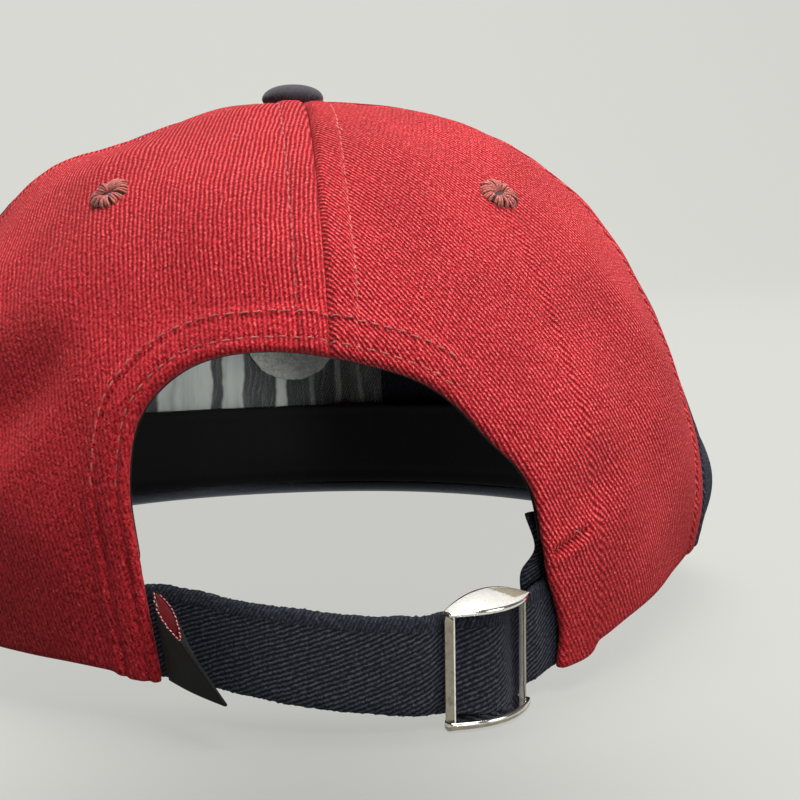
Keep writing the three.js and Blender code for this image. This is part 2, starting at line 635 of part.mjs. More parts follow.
// Folded tag: a U-shaped section carried from its top edge to its bottom edge
function tagGeometry() {
  const rootTop = new THREE.Vector3(...TAG.rootTop);
  const rootLow = new THREE.Vector3(...TAG.rootLow);
  const foldTop = new THREE.Vector3(...TAG.foldTop);
  const foldLow = new THREE.Vector3(...TAG.foldLow);
  const half = TAG.layer + TAG.hollow / 2;
  const section = new THREE.Shape();
  const foldFrom = 1 - half / foldTop.distanceTo(rootTop);
  section.moveTo(0, -half);
  section.lineTo(foldFrom, -half);
  section.absellipse(foldFrom, 0, 1 - foldFrom, half, -Math.PI / 2, Math.PI / 2);
  section.lineTo(0, half);
  section.lineTo(0, TAG.hollow / 2);
  section.lineTo(foldFrom, TAG.hollow / 2);
  section.lineTo(foldFrom, -TAG.hollow / 2);
  section.lineTo(0, -TAG.hollow / 2);
  const geometry = new THREE.ExtrudeGeometry(section, {
    depth: 1, steps: TAG.steps, bevelEnabled: false, curveSegments: TAG.foldSegments,
  });
  const face = foldTop.clone().sub(rootTop).cross(rootLow.clone().sub(rootTop)).normalize();
  const position = geometry.attributes.position;
  for (let i = 0; i < position.count; i += 1) {
    const root = rootTop.clone().lerp(rootLow, position.getZ(i));
    const fold = foldTop.clone().lerp(foldLow, position.getZ(i));
    const place = root.lerp(fold, position.getX(i)).addScaledVector(face, position.getY(i));
    position.setXYZ(i, place.x, place.y, place.z);
  }
  const bare = mergeVertices(geometry.deleteAttribute('normal').deleteAttribute('uv'), WELD);
  return solidGeometry([...bare.attributes.position.array], [...bare.index.array]);
}

// Assembly, with the origin under the middle of the whole cap
const MATERIAL = {
  red: new THREE.MeshStandardMaterial({ color: COLOUR.red, roughness: 0.95, metalness: 0 }),
  navy: new THREE.MeshStandardMaterial({ color: COLOUR.navy, roughness: 0.9, metalness: 0 }),
  black: new THREE.MeshStandardMaterial({ color: COLOUR.black, roughness: 0.9, metalness: 0 }),
  thread: new THREE.MeshStandardMaterial({ color: COLOUR.thread, roughness: 0.8, metalness: 0 }),
  metal: new THREE.MeshStandardMaterial({ color: COLOUR.metal, roughness: 0.12, metalness: 1 }),
  film: new THREE.MeshStandardMaterial({ color: COLOUR.film, roughness: 0.2, metalness: 0 }),
  patch: new THREE.MeshStandardMaterial({ color: COLOUR.patch, roughness: 0.95, metalness: 0 }),
};

const cap = new THREE.Group();

function addPiece(name, geometry, material) {
  const mesh = new THREE.Mesh(geometry, material);
  mesh.name = name;
  cap.add(mesh);
}

for (const panel of PANELS) addPiece(panel.name, panelGeometry(panel), panel.back ? MATERIAL.red : MATERIAL.navy);
for (const row of EYELETS) addPiece(row.name, eyeletGeometry(row), MATERIAL.thread);
addPiece('top_button', buttonGeometry(), MATERIAL.navy);
addPiece('peak', peakGeometry(), MATERIAL.navy);
addPiece('arch_tape', archTapeGeometry(), MATERIAL.black);
addPiece('sweatband', bandGeometry(), MATERIAL.black);
addPiece('front_film', filmGeometry(), MATERIAL.film);
addPiece('round_patch', patchGeometry(), MATERIAL.patch);
addPiece('strap', strapGeometry(), MATERIAL.navy);
addPiece('strap_tail', tailGeometry(), MATERIAL.navy);
addPiece('buckle', buckleGeometry(), MATERIAL.metal);
addPiece('side_tag', tagGeometry(), MATERIAL.black);

const bounds = new THREE.Box3().setFromObject(cap);
cap.position.y = -(bounds.min.y + bounds.max.y) / 2;

export default cap;
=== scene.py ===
# Flat brim cap seen from behind: twill panels, stitched arch, webbing strap and chrome slider buckle.
# Sizes are in millimetres in the crown's own frame, and become metres in the row frame when a mesh is made.
# Azimuth is measured from the rear (+Y) towards +X; climb runs from 0 at the rim to 90 degrees at the top.
import math

import bpy
import numpy as np
from mathutils import Matrix, Vector


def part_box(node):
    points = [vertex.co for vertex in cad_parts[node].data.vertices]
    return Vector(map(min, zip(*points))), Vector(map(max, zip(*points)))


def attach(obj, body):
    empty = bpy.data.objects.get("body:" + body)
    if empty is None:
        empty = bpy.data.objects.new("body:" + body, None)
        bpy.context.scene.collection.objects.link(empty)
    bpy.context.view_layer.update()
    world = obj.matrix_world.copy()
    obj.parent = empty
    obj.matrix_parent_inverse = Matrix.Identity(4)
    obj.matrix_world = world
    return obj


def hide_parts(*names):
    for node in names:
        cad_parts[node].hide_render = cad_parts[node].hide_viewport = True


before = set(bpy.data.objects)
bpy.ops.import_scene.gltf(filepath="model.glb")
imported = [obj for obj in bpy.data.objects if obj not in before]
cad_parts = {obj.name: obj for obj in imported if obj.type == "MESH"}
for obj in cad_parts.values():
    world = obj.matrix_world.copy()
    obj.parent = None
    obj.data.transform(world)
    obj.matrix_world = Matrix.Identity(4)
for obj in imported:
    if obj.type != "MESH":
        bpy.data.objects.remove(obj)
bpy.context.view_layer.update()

MM = 0.001
RNG = np.random.default_rng(7)
UPWARD = np.array([0.0, 0.0, 1.0])
# Range of a random phase in radians
PHASES = (0, 6.28)

# Sizes shared with the solids
CLOTH = 1.6
LAYER_GAP = 0.7
CROWN = {
    "half_width_left": 86.0, "half_width_right": 82.5, "half_length_rear": 94.0, "half_length_front": 98.5,
    "rim_exponent": 2.1, "top_level": 110.0, "rise_exponent": 2.5, "shrink_exponent": 2.34, "bulge": 0.016,
    "bulge_end": 0.6, "top_shift": -1.8, "lean": 0.015, "lean_pivot": 98.0, "top_climb": 87.5,
}
SIDE_SEAM = 66.0
FRONT_SEAM = 123.0
SEAM_SWING = {"left": 10.0, "right": 4.5, "span": 40.0, "full_at_rise": 0.5}
PEAK_END_AZIMUTH = 95.0
PEAK = {
    "front_level": 9.9, "slope": 0.041, "thickness": 3.2, "length": 72.0, "half_width": 93.0,
    "widest_at": -36.0, "exponent": 2.5, "inset": 3.3, "end_length": 31.0, "gap": 0.3,
}
# Columns: azimuth, level of the rim
RIM_LIFT = [
    (-65.0, 15.0), (-45.0, 11.9), (-35.0, 8.4), (-27.0, 5.0),
    (18.0, 7.6), (27.0, 9.6), (42.0, 10.9), (60.0, 11.6),
]
# Columns: azimuth, rise, azimuth span, rise span, slant, depth
DENTS = [
    (40.0, 0.42, 7.0, 0.12, -50.0, 2.4),
    (50.0, 0.16, 8.0, 0.10, 0.0, 1.6),
    (70.0, 0.945, 30.0, 0.06, 0.0, 2.6),
    (-44.0, 0.5, 8.0, 0.14, 40.0, 1.8),
    (-34.0, 0.27, 5.0, 0.05, 0.0, 1.0),
    (-84.0, 0.12, 19.0, 0.15, 0.0, -7.6),
    (84.0, 0.14, 17.0, 0.16, 0.0, -3.0),
    (105.0, 0.5, 10.0, 0.14, 30.0, 2.0),
    (-112.0, 0.55, 11.0, 0.14, -30.0, 1.8),
]
# The arch's edge seen from behind, from the left foot to the right foot: x, level
ARCH_OUTLINE = [
    (28.2, 4.0), (31.6, 28.0), (32.8, 40.8), (30.3, 51.5), (21.6, 58.7), (8.0, 60.4),
    (-8.1, 57.3), (-17.9, 52.9), (-25.8, 45.1), (-33.2, 36.5), (-35.8, 22.0), (-38.5, 11.0), (-37.3, 2.0),
]
ARCH_TAPE = {"thickness": 0.8, "outside": 5.0, "inside": -1.5, "lowest": 27.5}
EYELET_RISE = 0.774
EYELETS = {
    "eyelet_back_left": 35.7, "eyelet_side_left": 94.0, "eyelet_front_left": 151.0,
    "eyelet_front_right": 209.0, "eyelet_side_right": 266.0, "eyelet_back_right": 325.6,
}
BUTTON = {"radius": 6.8, "height": 4.4, "skirt": 1.3, "offset": 0.9, "gap": 0.3}
BAND = {"from": 34.0, "to": 320.0, "height": 23.0, "thickness": 1.2, "top_lean": 3.0, "gap": 0.3}
FILM = {"from": 144.0, "to": 200.0, "low": 20.0, "top_climb": 46.0, "thickness": 0.3, "gap": 0.7}
PATCH = {"radius": 13.0, "thickness": 0.9, "azimuth": 180.8, "level": 52.4, "inset": 6.2}
STRAP = {"width": 15.4, "thickness": 1.5, "over_bar": 2.2, "behind_bar": -1.5, "settle": 5.0}
# Columns: x, y, level of the strap's middle
STRAP_PATH = [
    (45.4, 77.2, 17.9), (35.2, 83.1, 15.8), (27.6, 86.8, 15.7), (14.5, 94.0, 14.1), (0.0, 97.8, 12.0),
    (-10.0, 98.6, 11.1), (-16.0, 97.7, 10.6), (-23.7, 93.2, 10.1), (-31.4, 87.2, 10.6), (-36.0, 82.6, 11.8),
    (-41.0, 78.8, 13.0), (-49.9, 72.2, 15.9),
]
BUCKLE_ROW = 7
BUCKLE = {
    "bar": 1.4, "mid_bar_radius": 0.9, "inner_half": 8.5, "cheek": 1.45, "half_width": 9.1,
    "bulge": 4.6, "back_bulge": 4.2, "lip": 0.8, "lip_drop": -0.35, "top_back": 0.8, "top_rise": 1.9,
}
TAIL = {"thickness": 1.4, "inset": 5.0}
# Columns: level, azimuth of the free edge, azimuth of the hidden edge
TAIL_ROWS = [(17.0, -25.0, -35.0), (21.5, -24.8, -35.0), (25.5, -27.0, -35.0), (31.7, -26.0, -33.0)]
TAG = {
    "root_top": (29.5, 88.5, 22.5), "root_low": (27.5, 89.1, 8.1),
    "fold_top": (25.6, 95.5, 16.7), "fold_low": (19.1, 98.5, 6.7), "layer": 0.5, "hollow": 0.85,
}
SHIFT_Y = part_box("peak")[0].y / MM + CROWN["half_length_front"] + PEAK["length"]

# Stitching and cloth detail
STITCH = {"pitch": 2.35, "length": 1.95, "radius": 0.18, "row_from_seam": 5.6, "scatter": 0.05}
STITCH_CLIMBS = {"over_arch": 1.5, "over_rim": 2.0, "top": 84.0}
ARCH_ROWS = (2.65, 6.7)
# How far the turned hem of the arch starts outside the drawn edge
ARCH_SETBACK = 1.0
BACK_TOP_CLIMB = 89.9
WEDGE_TOP_CLIMB = 89.3
# Half of the gap between two panels, less than their rolled edges so that no light gets through
SEAM_GAP = 0.012
# Depths and widths of a seam's groove, raised allowance and stitched line
SEAM_FORM = {
    "groove": 0.8, "groove_width": 0.4, "groove_power": 1.3, "raised": 0.45, "raised_from": (0.2, 1.4),
    "raised_to": (4.9, 6.0), "row": 0.28, "row_width": 0.5, "pucker": 0.06, "pucker_width": 1.3,
    "pucker_pitch": 1.5,
}
# The same for the hem of the arch, with the depth of its creased leg
HEM_FORM = {
    "edge": 0.3, "edge_width": 0.6, "raised": 0.35, "raised_to": (7.6, 9.2), "row": 0.24, "creased": 0.5,
    "crease_pitch": 3.3, "row_width": 0.55, "pucker": 0.06, "pucker_width": 1.2,
}
# Along x: the right leg's hem shows no stitching, and the left leg's is creased
PLAIN_LEG = (-27.0, -17.0)
CREASED_LEG = (24.0, 30.0)
# Level under which the left leg's stitches are lost in the creases
SUNK_BELOW = 39.0
# The back's part that holds the arch: lowest y, and farthest x
ARCH_REACH = (60, 60)
# Sewn-down crease on the right leg: ends as x and level, depth, half width, and the swelling beside it
TACK = {
    "ends": ((-37.6, 25.4), (-43.8, 28.0)), "depth": 1.0, "half_width": 0.55,
    "swelling": 0.35, "swelling_at": 1.6, "swelling_width": 0.9,
}
# Slow unevenness of the cloth: wave length, depth
RIPPLES = ((44, 0.4), (31, 0.3), (22, 0.2), (15, 0.12), (11, 0.08))
TWILL = {"pitch": 0.82, "angle": 29.0}
# How far the cut of a panel turns its ribs from the rest
CUT_TURN = {"panel_back_left": -10.0, "panel_back_right": 1.0}
# Heights between which the ribs of each back panel come out of the fuzz
RIBS_FROM = {"panel_back_left": (35.0, 100.0), "panel_back_right": (-25.0, 30.0)}
NARROWEST_CUT = 10.0
SELVEDGE_ANGLE = 25.0
# Short loose fibres on the back, spread over these ranges
FIBRES = {"count": 18, "azimuth": (-58.0, 62.0), "climb": (46.0, 80.0), "length": (0.9, 2.4), "radius": 0.04}
# Long loose threads: x, level, turn in degrees, length
LOOSE_ENDS = [(-42.4, 27.6, 38.0, 3.4), (-5.0, 99.0, 60.0, 3.5)]
EYELET_SEWING = {
    "strands": 31, "reach": 3.8, "slit_long": 1.5, "slit_short": 0.5, "slit_turn": 0.5,
    "lift": 0.75, "sink": 0.3,
}
# Stitched rows of the peak, as shares of the way from its inner to its outer edge
PEAK_ROWS = (0.93, 0.86, 0.79, 0.72, 0.65, 0.58)
PEAK_QUILT = 0.25
PEAK_BOUND_ROWS = 4
# Pale folds of the film: place along it from the front seam, half width, strength
FILM_FOLDS = [
    (-32.2, 8.4, 1.0), (-17.0, 3.0, 0.9), (-2.4, 1.5, 1.0),
    (7.0, 0.7, 0.25), (15.0, 0.9, 0.2), (22.0, 0.6, 0.2),
]
# Crinkles of the film: waves, depth
FILM_CRINKLES = ((7, 0.45), (11, 0.35), (17, 0.2), (29, 0.1))
# The patch's ragged edge stays this far inside its outline
PATCH_TRIM = 0.6
# Extra half width where the strap is pressed into the buckle's window, at both edges and at the lower one
STRAP_FILL = 0.6
STRAP_LOW_FILL = 2.0
# Level that the strap's lower edge stays above
STRAP_LOWEST = 0.9
# Share of the tag's length taken by the bend of its fold, and the tag's height on the cloth
TAG_FOLD = 0.2
TAG_HEIGHT = 15.0

# Floor and camera
FLOOR_GLOW = 0.58
# A painted shadow: the floor's glow is dimmed in a soft patch behind the strap; middle and reach along x,
# then along y
FLOOR_PAINTED_SHADOW = ((8.0, 48.0), (135.0 + SHIFT_Y, 65.0))
FLOOR_PAINTED_SHADOW_STRENGTH = 0.4
# Floor and back wall in metres
STAGE = {
    "half_width": 4.0, "front": 2.5, "bend_at": -1.6, "bend_radius": 0.8, "height": 3.0,
    "bend_steps": 12,
}
# Camera fitted to the photograph's frame: place in mm, turns in radians
CAMERA = {
    "place": (15.4, 305.5, 78.2), "yaw": 0.1208, "pitch": 0.1166, "roll": -0.0177,
    "lens": 60.85, "sensor": 36.0,
}


# Small helpers
def signed(azimuth):
    return (np.asarray(azimuth, float) + 180.0) % 360.0 - 180.0


def unit(v):
    return v / np.maximum(np.linalg.norm(v, axis=-1, keepdims=True), 1e-12)


def smooth_step(x, low, high):
    t = np.clip((x - low) / (high - low), 0, 1)
    return t * t * (3 - 2 * t)


def bell(x, width):
    return np.exp(-((x / width) ** 2))


def stacked(*columns):
    """Columns of numbers, spread to one shape, as points."""
    return np.stack(np.broadcast_arrays(*columns), axis=-1)


def repeated(row, count):
    return np.repeat(np.asarray(row)[None, :], count, axis=0)


def arc_length(line):
    """Length along a line at each of its points."""
    return np.concatenate([[0], np.cumsum(np.linalg.norm(np.diff(line, axis=0), axis=1))])


def points_at(at, along, line):
    """Points of a line at some lengths along it."""
    return stacked(*(np.interp(at, along, line[:, k]) for k in range(line.shape[1])))


def resample(line, count):
    along = arc_length(line)
    return points_at(np.linspace(0, along[-1], count), along, line)


def grid_of(columns, rows):
    return np.meshgrid(columns, rows, indexing="ij")


def eased(count, gather=0.35):
    """Fractions from 0 to 1, closer together at both ends."""
    t = np.linspace(0, 1, count)
    return (1 - gather) * t + gather * (t - np.sin(2 * np.pi * t) / (2 * np.pi))


def ways_on(normal):
    """Level and rising directions on a surface with this normal."""
    level_way = unit(np.cross(UPWARD, normal))
    return level_way, np.cross(normal, level_way)


def spline(points, count):
    """Points along a smooth curve through the given points, evenly spread over its spans."""
    p = np.asarray(points, float)
    last = len(p) - 1
    t = np.linspace(0, last, count)
    k = np.minimum(t.astype(int), last - 1)
    w = (t - k)[:, None]
    p0 = p[np.maximum(k - 1, 0)]
    p1 = p[k]
    p2 = p[k + 1]
    p3 = p[np.minimum(k + 2, last)]
    return cubic_between(p1, p2, (p2 - p0) / 2, (p3 - p1) / 2, w)


def cubic_between(start, end, leaving, arriving, w):
    """A curve from start to end with the given slopes, at the shares w of the way."""
    cubic = (2 * start - 2 * end + leaving + arriving) * w**3
    square = (-3 * start + 3 * end - 2 * leaving - arriving) * w**2
    return cubic + square + leaving * w + start


# Crown surface
def rim_plan(azimuth):
    a = np.radians(azimuth)
    side = np.sin(a)
    back = np.cos(a)
    n = CROWN["rim_exponent"]
    square = (np.abs(side) ** n + np.abs(back) ** n) ** (-1.0 / n)
    half_width = np.where(side > 0, CROWN["half_width_left"], CROWN["half_width_right"])
    half_length = np.where(back > 0, CROWN["half_length_rear"], CROWN["half_length_front"])
    return half_width * side * square, half_length * back * square


def peak_level(y):
    return PEAK["front_level"] + PEAK["slope"] * (y + CROWN["half_length_front"])


def lift_rows():
    ends = []
    for azimuth in (-PEAK_END_AZIMUTH, PEAK_END_AZIMUTH):
        ends.append((azimuth, float(peak_level(rim_plan(azimuth)[1]))))
    return spline([ends[0], *RIM_LIFT, ends[1]], 600)


LIFT = lift_rows()


def rim_lift(azimuth):
    a = signed(azimuth)
    rear = np.interp(a, LIFT[:, 0], LIFT[:, 1])
    return np.where(np.abs(a) >= PEAK_END_AZIMUTH, peak_level(rim_plan(a)[1]), rear)


def rise_of(climb):
    return np.sin(np.radians(climb)) ** (2 / CROWN["rise_exponent"])


def crown_point(azimuth, climb):
    climb = np.clip(climb, 1e-6, 89.99)
    rise = rise_of(climb)
    swell = 1 + CROWN["bulge"] * np.sin(np.pi * np.minimum(rise / CROWN["bulge_end"], 1))
    shrink = np.cos(np.radians(climb)) ** (2 / CROWN["shrink_exponent"]) * swell
    x, y = rim_plan(azimuth)
    y = y * shrink + CROWN["top_shift"] * rise
    lean = CROWN["lean"] * (y - CROWN["lean_pivot"])
    z = rim_lift(azimuth) * (1 - rise) + CROWN["top_level"] * rise + lean
    return stacked(x * shrink, y, z)


def crown_radius(azimuth, climb):
    p = crown_point(azimuth, climb)
    return np.hypot(p[..., 0], p[..., 1])


def crown_normal(azimuth, climb):
    step = 0.5
    low = np.maximum(np.asarray(climb) - step, 0.05)
    along = crown_point(np.asarray(azimuth) + step, climb) - crown_point(np.asarray(azimuth) - step, climb)
    upward = crown_point(azimuth, np.asarray(climb) + step) - crown_point(azimuth, low)
    return unit(np.cross(upward, along))


def dent_depth(azimuth, climb):
    rise = rise_of(np.maximum(climb, 0))
    depth = 0.0
    for at, level, azimuth_span, rise_span, slant, amount in DENTS:
        up = rise - level
        across = signed(azimuth - at - slant * up) / azimuth_span
        depth = depth + amount * np.exp(-(across**2) - (up / rise_span) ** 2)
    return depth


def skin_point(azimuth, climb, inset):
    azimuth = np.asarray(azimuth, float)
    climb = np.asarray(climb, float)
    depth = np.asarray(inset + dent_depth(azimuth, climb))
    return crown_point(azimuth, climb) - crown_normal(azimuth, climb) * depth[..., None]


def climb_at_level(azimuth, level):
    azimuth, level = np.broadcast_arrays(np.asarray(azimuth, float), np.asarray(level, float))
    low = np.zeros(azimuth.shape)
    high = np.full(azimuth.shape, CROWN["top_climb"])
    for _ in range(40):
        middle = (low + high) / 2
        under = crown_point(azimuth, middle)[..., 2] < level
        low = np.where(under, middle, low)
        high = np.where(under, high, middle)
    return (low + high) / 2


def climb_at_height(azimuth, height):
    return climb_at_level(azimuth, crown_point(azimuth, 0.0)[..., 2] + height)


def rear_place(x, level):
    """Azimuth and climb of the point of the rear skin seen from behind at x and a level."""
    azimuth = np.degrees(np.arcsin(np.clip(x / CROWN["half_width_left"], -0.99, 0.99)))
    step = 0.2
    least_slope = 0.2
    for _ in range(12):
        climb = climb_at_level(azimuth, level)
        here = crown_point(azimuth, climb)[..., 0]
        there = crown_point(azimuth + step, climb)[..., 0]
        azimuth = azimuth + (x - here) / np.maximum((there - here) / step, least_slope)
    return azimuth, climb_at_level(azimuth, level)


def eyelet_climb(azimuth):
    base = crown_point(azimuth, 0.0)[..., 2]
    return climb_at_level(azimuth, base + EYELET_RISE * (CROWN["top_level"] - rim_lift(azimuth)))


def arch_curve(margin, count):
    """The arch's outline grown outwards by a margin: x, level."""
    line = spline(ARCH_OUTLINE, count)
    along = unit(np.gradient(line, axis=0))
    outward = np.stack([along[:, 1], -along[:, 0]], axis=-1)
    return line + outward * margin


def arch_place(margin, count):
    """The grown outline on the rear skin: azimuth, climb."""
    return stacked(*rear_place(*arch_curve(margin, count).T))


def swung(azimuth, climb):
    """Azimuth of a panel's grid line after the rear side seams swing forwards as they rise."""
    turn = signed(azimuth)
    away = np.minimum(np.abs(np.abs(turn) - SIDE_SEAM) / SEAM_SWING["span"], 1.0)
    near = np.cos(away * np.pi / 2) ** 2
    risen = smooth_step(rise_of(climb), 0.0, SEAM_SWING["full_at_rise"])
    return azimuth + np.where(turn > 0, SEAM_SWING["left"], -SEAM_SWING["right"]) * near * risen


# Meshes
def add_object(name, mesh, material, node=None):
    obj = bpy.data.objects.new(name, mesh)
    bpy.context.scene.collection.objects.link(obj)
    materials = material if isinstance(material, list) else [material]
    for item in materials:
        obj.data.materials.append(item)
    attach(obj, "root")
    if node:
        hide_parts(node)
    return obj


def make_mesh(name, points, faces, uv=None, face_material=None):
    world = np.array(points, float).reshape(-1, 3)
    world[:, 1] += SHIFT_Y
    mesh = bpy.data.meshes.new(name)
    mesh.from_pydata((world * MM).tolist(), [], faces)
    if uv is not None:
        layer = mesh.uv_layers.new(name="cloth")
        index = np.zeros(len(mesh.loops), np.int32)
        mesh.loops.foreach_get("vertex_index", index)
        layer.data.foreach_set("uv", np.asarray(uv, np.float32)[index].ravel())
    if face_material is not None:
        mesh.polygons.foreach_set("material_index", np.asarray(face_material, np.int32))
    mesh.polygons.foreach_set("use_smooth", np.full(len(mesh.polygons), True))
    mesh.update()
    return mesh


# Places of the points across a rolled edge, from the outer face to the inner one
EDGE_STEPS = (0.25, 0.5, 0.75)


def shell_parts(outer, inner, uv, rounds):
    """A closed sheet between two grids, with rolled edges. rounds gives the roll on sides i0, i1, j0, j1."""
    n, m, _ = outer.shape
    loop = [(i, 0) for i in range(n)]
    loop += [(n - 1, j) for j in range(1, m)]
    loop += [(i, m - 1) for i in range(n - 2, -1, -1)]
    loop += [(0, j) for j in range(m - 2, 0, -1)]
    rim = np.array(loop)
    i, j = rim[:, 0], rim[:, 1]
    tangent = np.zeros((len(rim), 3))
    reach = np.zeros((len(rim), 2))
    roll = np.full(len(rim), np.inf)
    sides = (
        (i == 0, (1, 0), rounds[0]), (i == n - 1, (-1, 0), rounds[1]),
        (j == 0, (0, 1), rounds[2]), (j == m - 1, (0, -1), rounds[3]),
    )
    for on_side, (di, dj), amount in sides:
        here = (i[on_side], j[on_side])
        within = (i[on_side] + di, j[on_side] + dj)
        tangent[on_side] += unit(outer[here] - outer[within])
        reach[on_side] += unit(uv[here] - uv[within])
        roll[on_side] = np.minimum(roll[on_side], amount)
    tangent = unit(tangent)
    reach = unit(reach) * np.linalg.norm(outer[i, j] - inner[i, j], axis=-1, keepdims=True)
    middle = (outer[i, j] + inner[i, j]) / 2
    half = (outer[i, j] - inner[i, j]) / 2
    rows = []
    for step in EDGE_STEPS:
        angle = math.pi * step
        rows.append(middle + half * math.cos(angle) + tangent * (roll * math.sin(angle))[:, None])
    points = np.concatenate([outer.reshape(-1, 3), inner.reshape(-1, 3), *rows])
    flat_uv = uv.reshape(-1, 2)
    edge_uvs = [uv[i, j] + reach * step for step in EDGE_STEPS]
    uvs = np.concatenate([flat_uv, flat_uv, *edge_uvs])
    index = np.arange(n * m).reshape(n, m)
    a, b, c, d = index[:-1, :-1], index[1:, :-1], index[1:, 1:], index[:-1, 1:]
    front = np.stack([a, b, c, d], axis=-1).reshape(-1, 4)
    back = np.stack([a, d, c, b], axis=-1).reshape(-1, 4) + n * m
    count = len(rim)
    start = 2 * n * m
    rings = [index[i, j]]
    rings += [start + k * count + np.arange(count) for k in range(len(EDGE_STEPS))]
    rings.append(n * m + index[i, j])
    strips = []
    for upper, lower in zip(rings[:-1], rings[1:]):
        strips.append(np.stack([np.roll(upper, -1), upper, lower, np.roll(lower, -1)], axis=-1))
    faces = np.concatenate([front, back, *strips])
    ci, cj = n // 2, m // 2
    normal = np.cross(outer[ci, cj] - outer[ci - 1, cj], outer[ci, cj] - outer[ci, cj - 1])
    if np.dot(normal, outer[ci, cj] - inner[ci, cj]) < 0:
        faces = faces[:, ::-1]
    return points, faces, uvs, len(front)


def sheet_area(outer):
    diagonal = np.cross(outer[1:, 1:] - outer[:-1, :-1], outer[1:, :-1] - outer[:-1, 1:])
    return float(np.linalg.norm(diagonal, axis=-1).sum() / 2)


def add_shell(name, outer, inner, uv, material, node, rounds):
    """One closed sheet of cloth or film; its flat size is worked out but not used."""
    points, faces, uvs, _ = shell_parts(outer, inner, uv, rounds)
    obj = add_object(name, make_mesh(name, points, faces.tolist(), uvs), material, node)
    area = sheet_area(outer)
    width, length = np.maximum(np.ptp(uv.reshape(-1, 2), axis=0), NARROWEST_CUT)
    if area > width * length:
        width = area / length


def join_tubes(tubes, sides):
    """One mesh of many short tubes. Each tube is (centres, radii across, radii up, up vectors)."""
    points = []
    faces = []
    start = 0
    turn = np.arange(sides) * 2 * math.pi / sides
    for centres, across_radius, up_radius, up in tubes:
        along = unit(np.gradient(centres, axis=0))
        side = unit(np.cross(along, up))
        top = np.cross(side, along)
        across_part = np.cos(turn)[None, :] * across_radius[:, None]
        up_part = np.sin(turn)[None, :] * up_radius[:, None]
        ring = centres[:, None, :] + side[:, None, :] * across_part[..., None]
        ring = ring + top[:, None, :] * up_part[..., None]
        points.append(ring.reshape(-1, 3))
        for k in range(len(centres) - 1):
            low = start + k * sides
            high = low + sides
            for s in range(sides):
                t = (s + 1) % sides
                faces.append((low + s, high + s, high + t, low + t))
        last = start + (len(centres) - 1) * sides
        faces.append(tuple(start + s for s in range(sides)))
        faces.append(tuple(last + s for s in reversed(range(sides))))
        start = last + sides
    return np.concatenate(points), faces


def merge_parts(parts):
    """One list of points and one of faces from several (points, faces) pairs."""
    points = []
    faces = []
    start = 0
    for some_points, some_faces in parts:
        points.append(some_points)
        faces.extend(tuple(int(k) + start for k in face) for face in some_faces)
        start += len(some_points)
    return np.concatenate(points), faces


def even_tube(centres, radius, normal, flat=1.0):
    """A tube of one radius for join_tubes; flat lowers it."""
    count = len(centres)
    return centres, np.full(count, radius), np.full(count, radius * flat), repeated(normal, count)


def stitch_tubes(
    line, normals, pitch=STITCH["pitch"], length=STITCH["length"], thick=STITCH["radius"], sink=0.2
):
    """Short thread tubes along a line on the cloth, dipping in at both ends."""
    along = arc_length(line)
    tubes = []
    t = np.linspace(0, 1, 7)
    arc = np.sin(np.pi * t)
    for k in range(int(along[-1] // pitch)):
        at = (k + 0.5) * pitch + length * (t - 0.5) + RNG.normal(0, STITCH["scatter"])
        centre = points_at(at, along, line)
        normal = unit(points_at(at, along, normals))
        side = unit(np.cross(normal, np.gradient(centre, axis=0)))
        drift = RNG.normal(0, STITCH["scatter"]) + 0.1 * (t - 0.5)
        height = -sink + (sink + 0.05) * arc**0.6
        centre = centre + normal * height[:, None] + side * drift[:, None]
        radius = thick * (0.55 + 0.45 * arc) * RNG.uniform(0.9, 1.1)
        tubes.append((centre, radius, radius * 0.8, normal))
    return tubes


def add_stitches(name, tubes, material):
    points, faces = join_tubes(tubes, 6)
    add_object(name, make_mesh(name, points, faces), material)


# Materials
class Value:
    """A number or colour of a material; arithmetic on it adds math nodes."""

    def __init__(self, shader, socket):
        self.shader = shader
        self.socket = socket

    def __add__(self, other):
        return self.shader.math("ADD", self, other)

    def __sub__(self, other):
        return self.shader.math("SUBTRACT", self, other)

    def __rsub__(self, other):
        return self.shader.math("SUBTRACT", other, self)

    def __mul__(self, other):
        return self.shader.math("MULTIPLY", self, other)

    def __truediv__(self, other):
        return self.shader.math("DIVIDE", self, other)


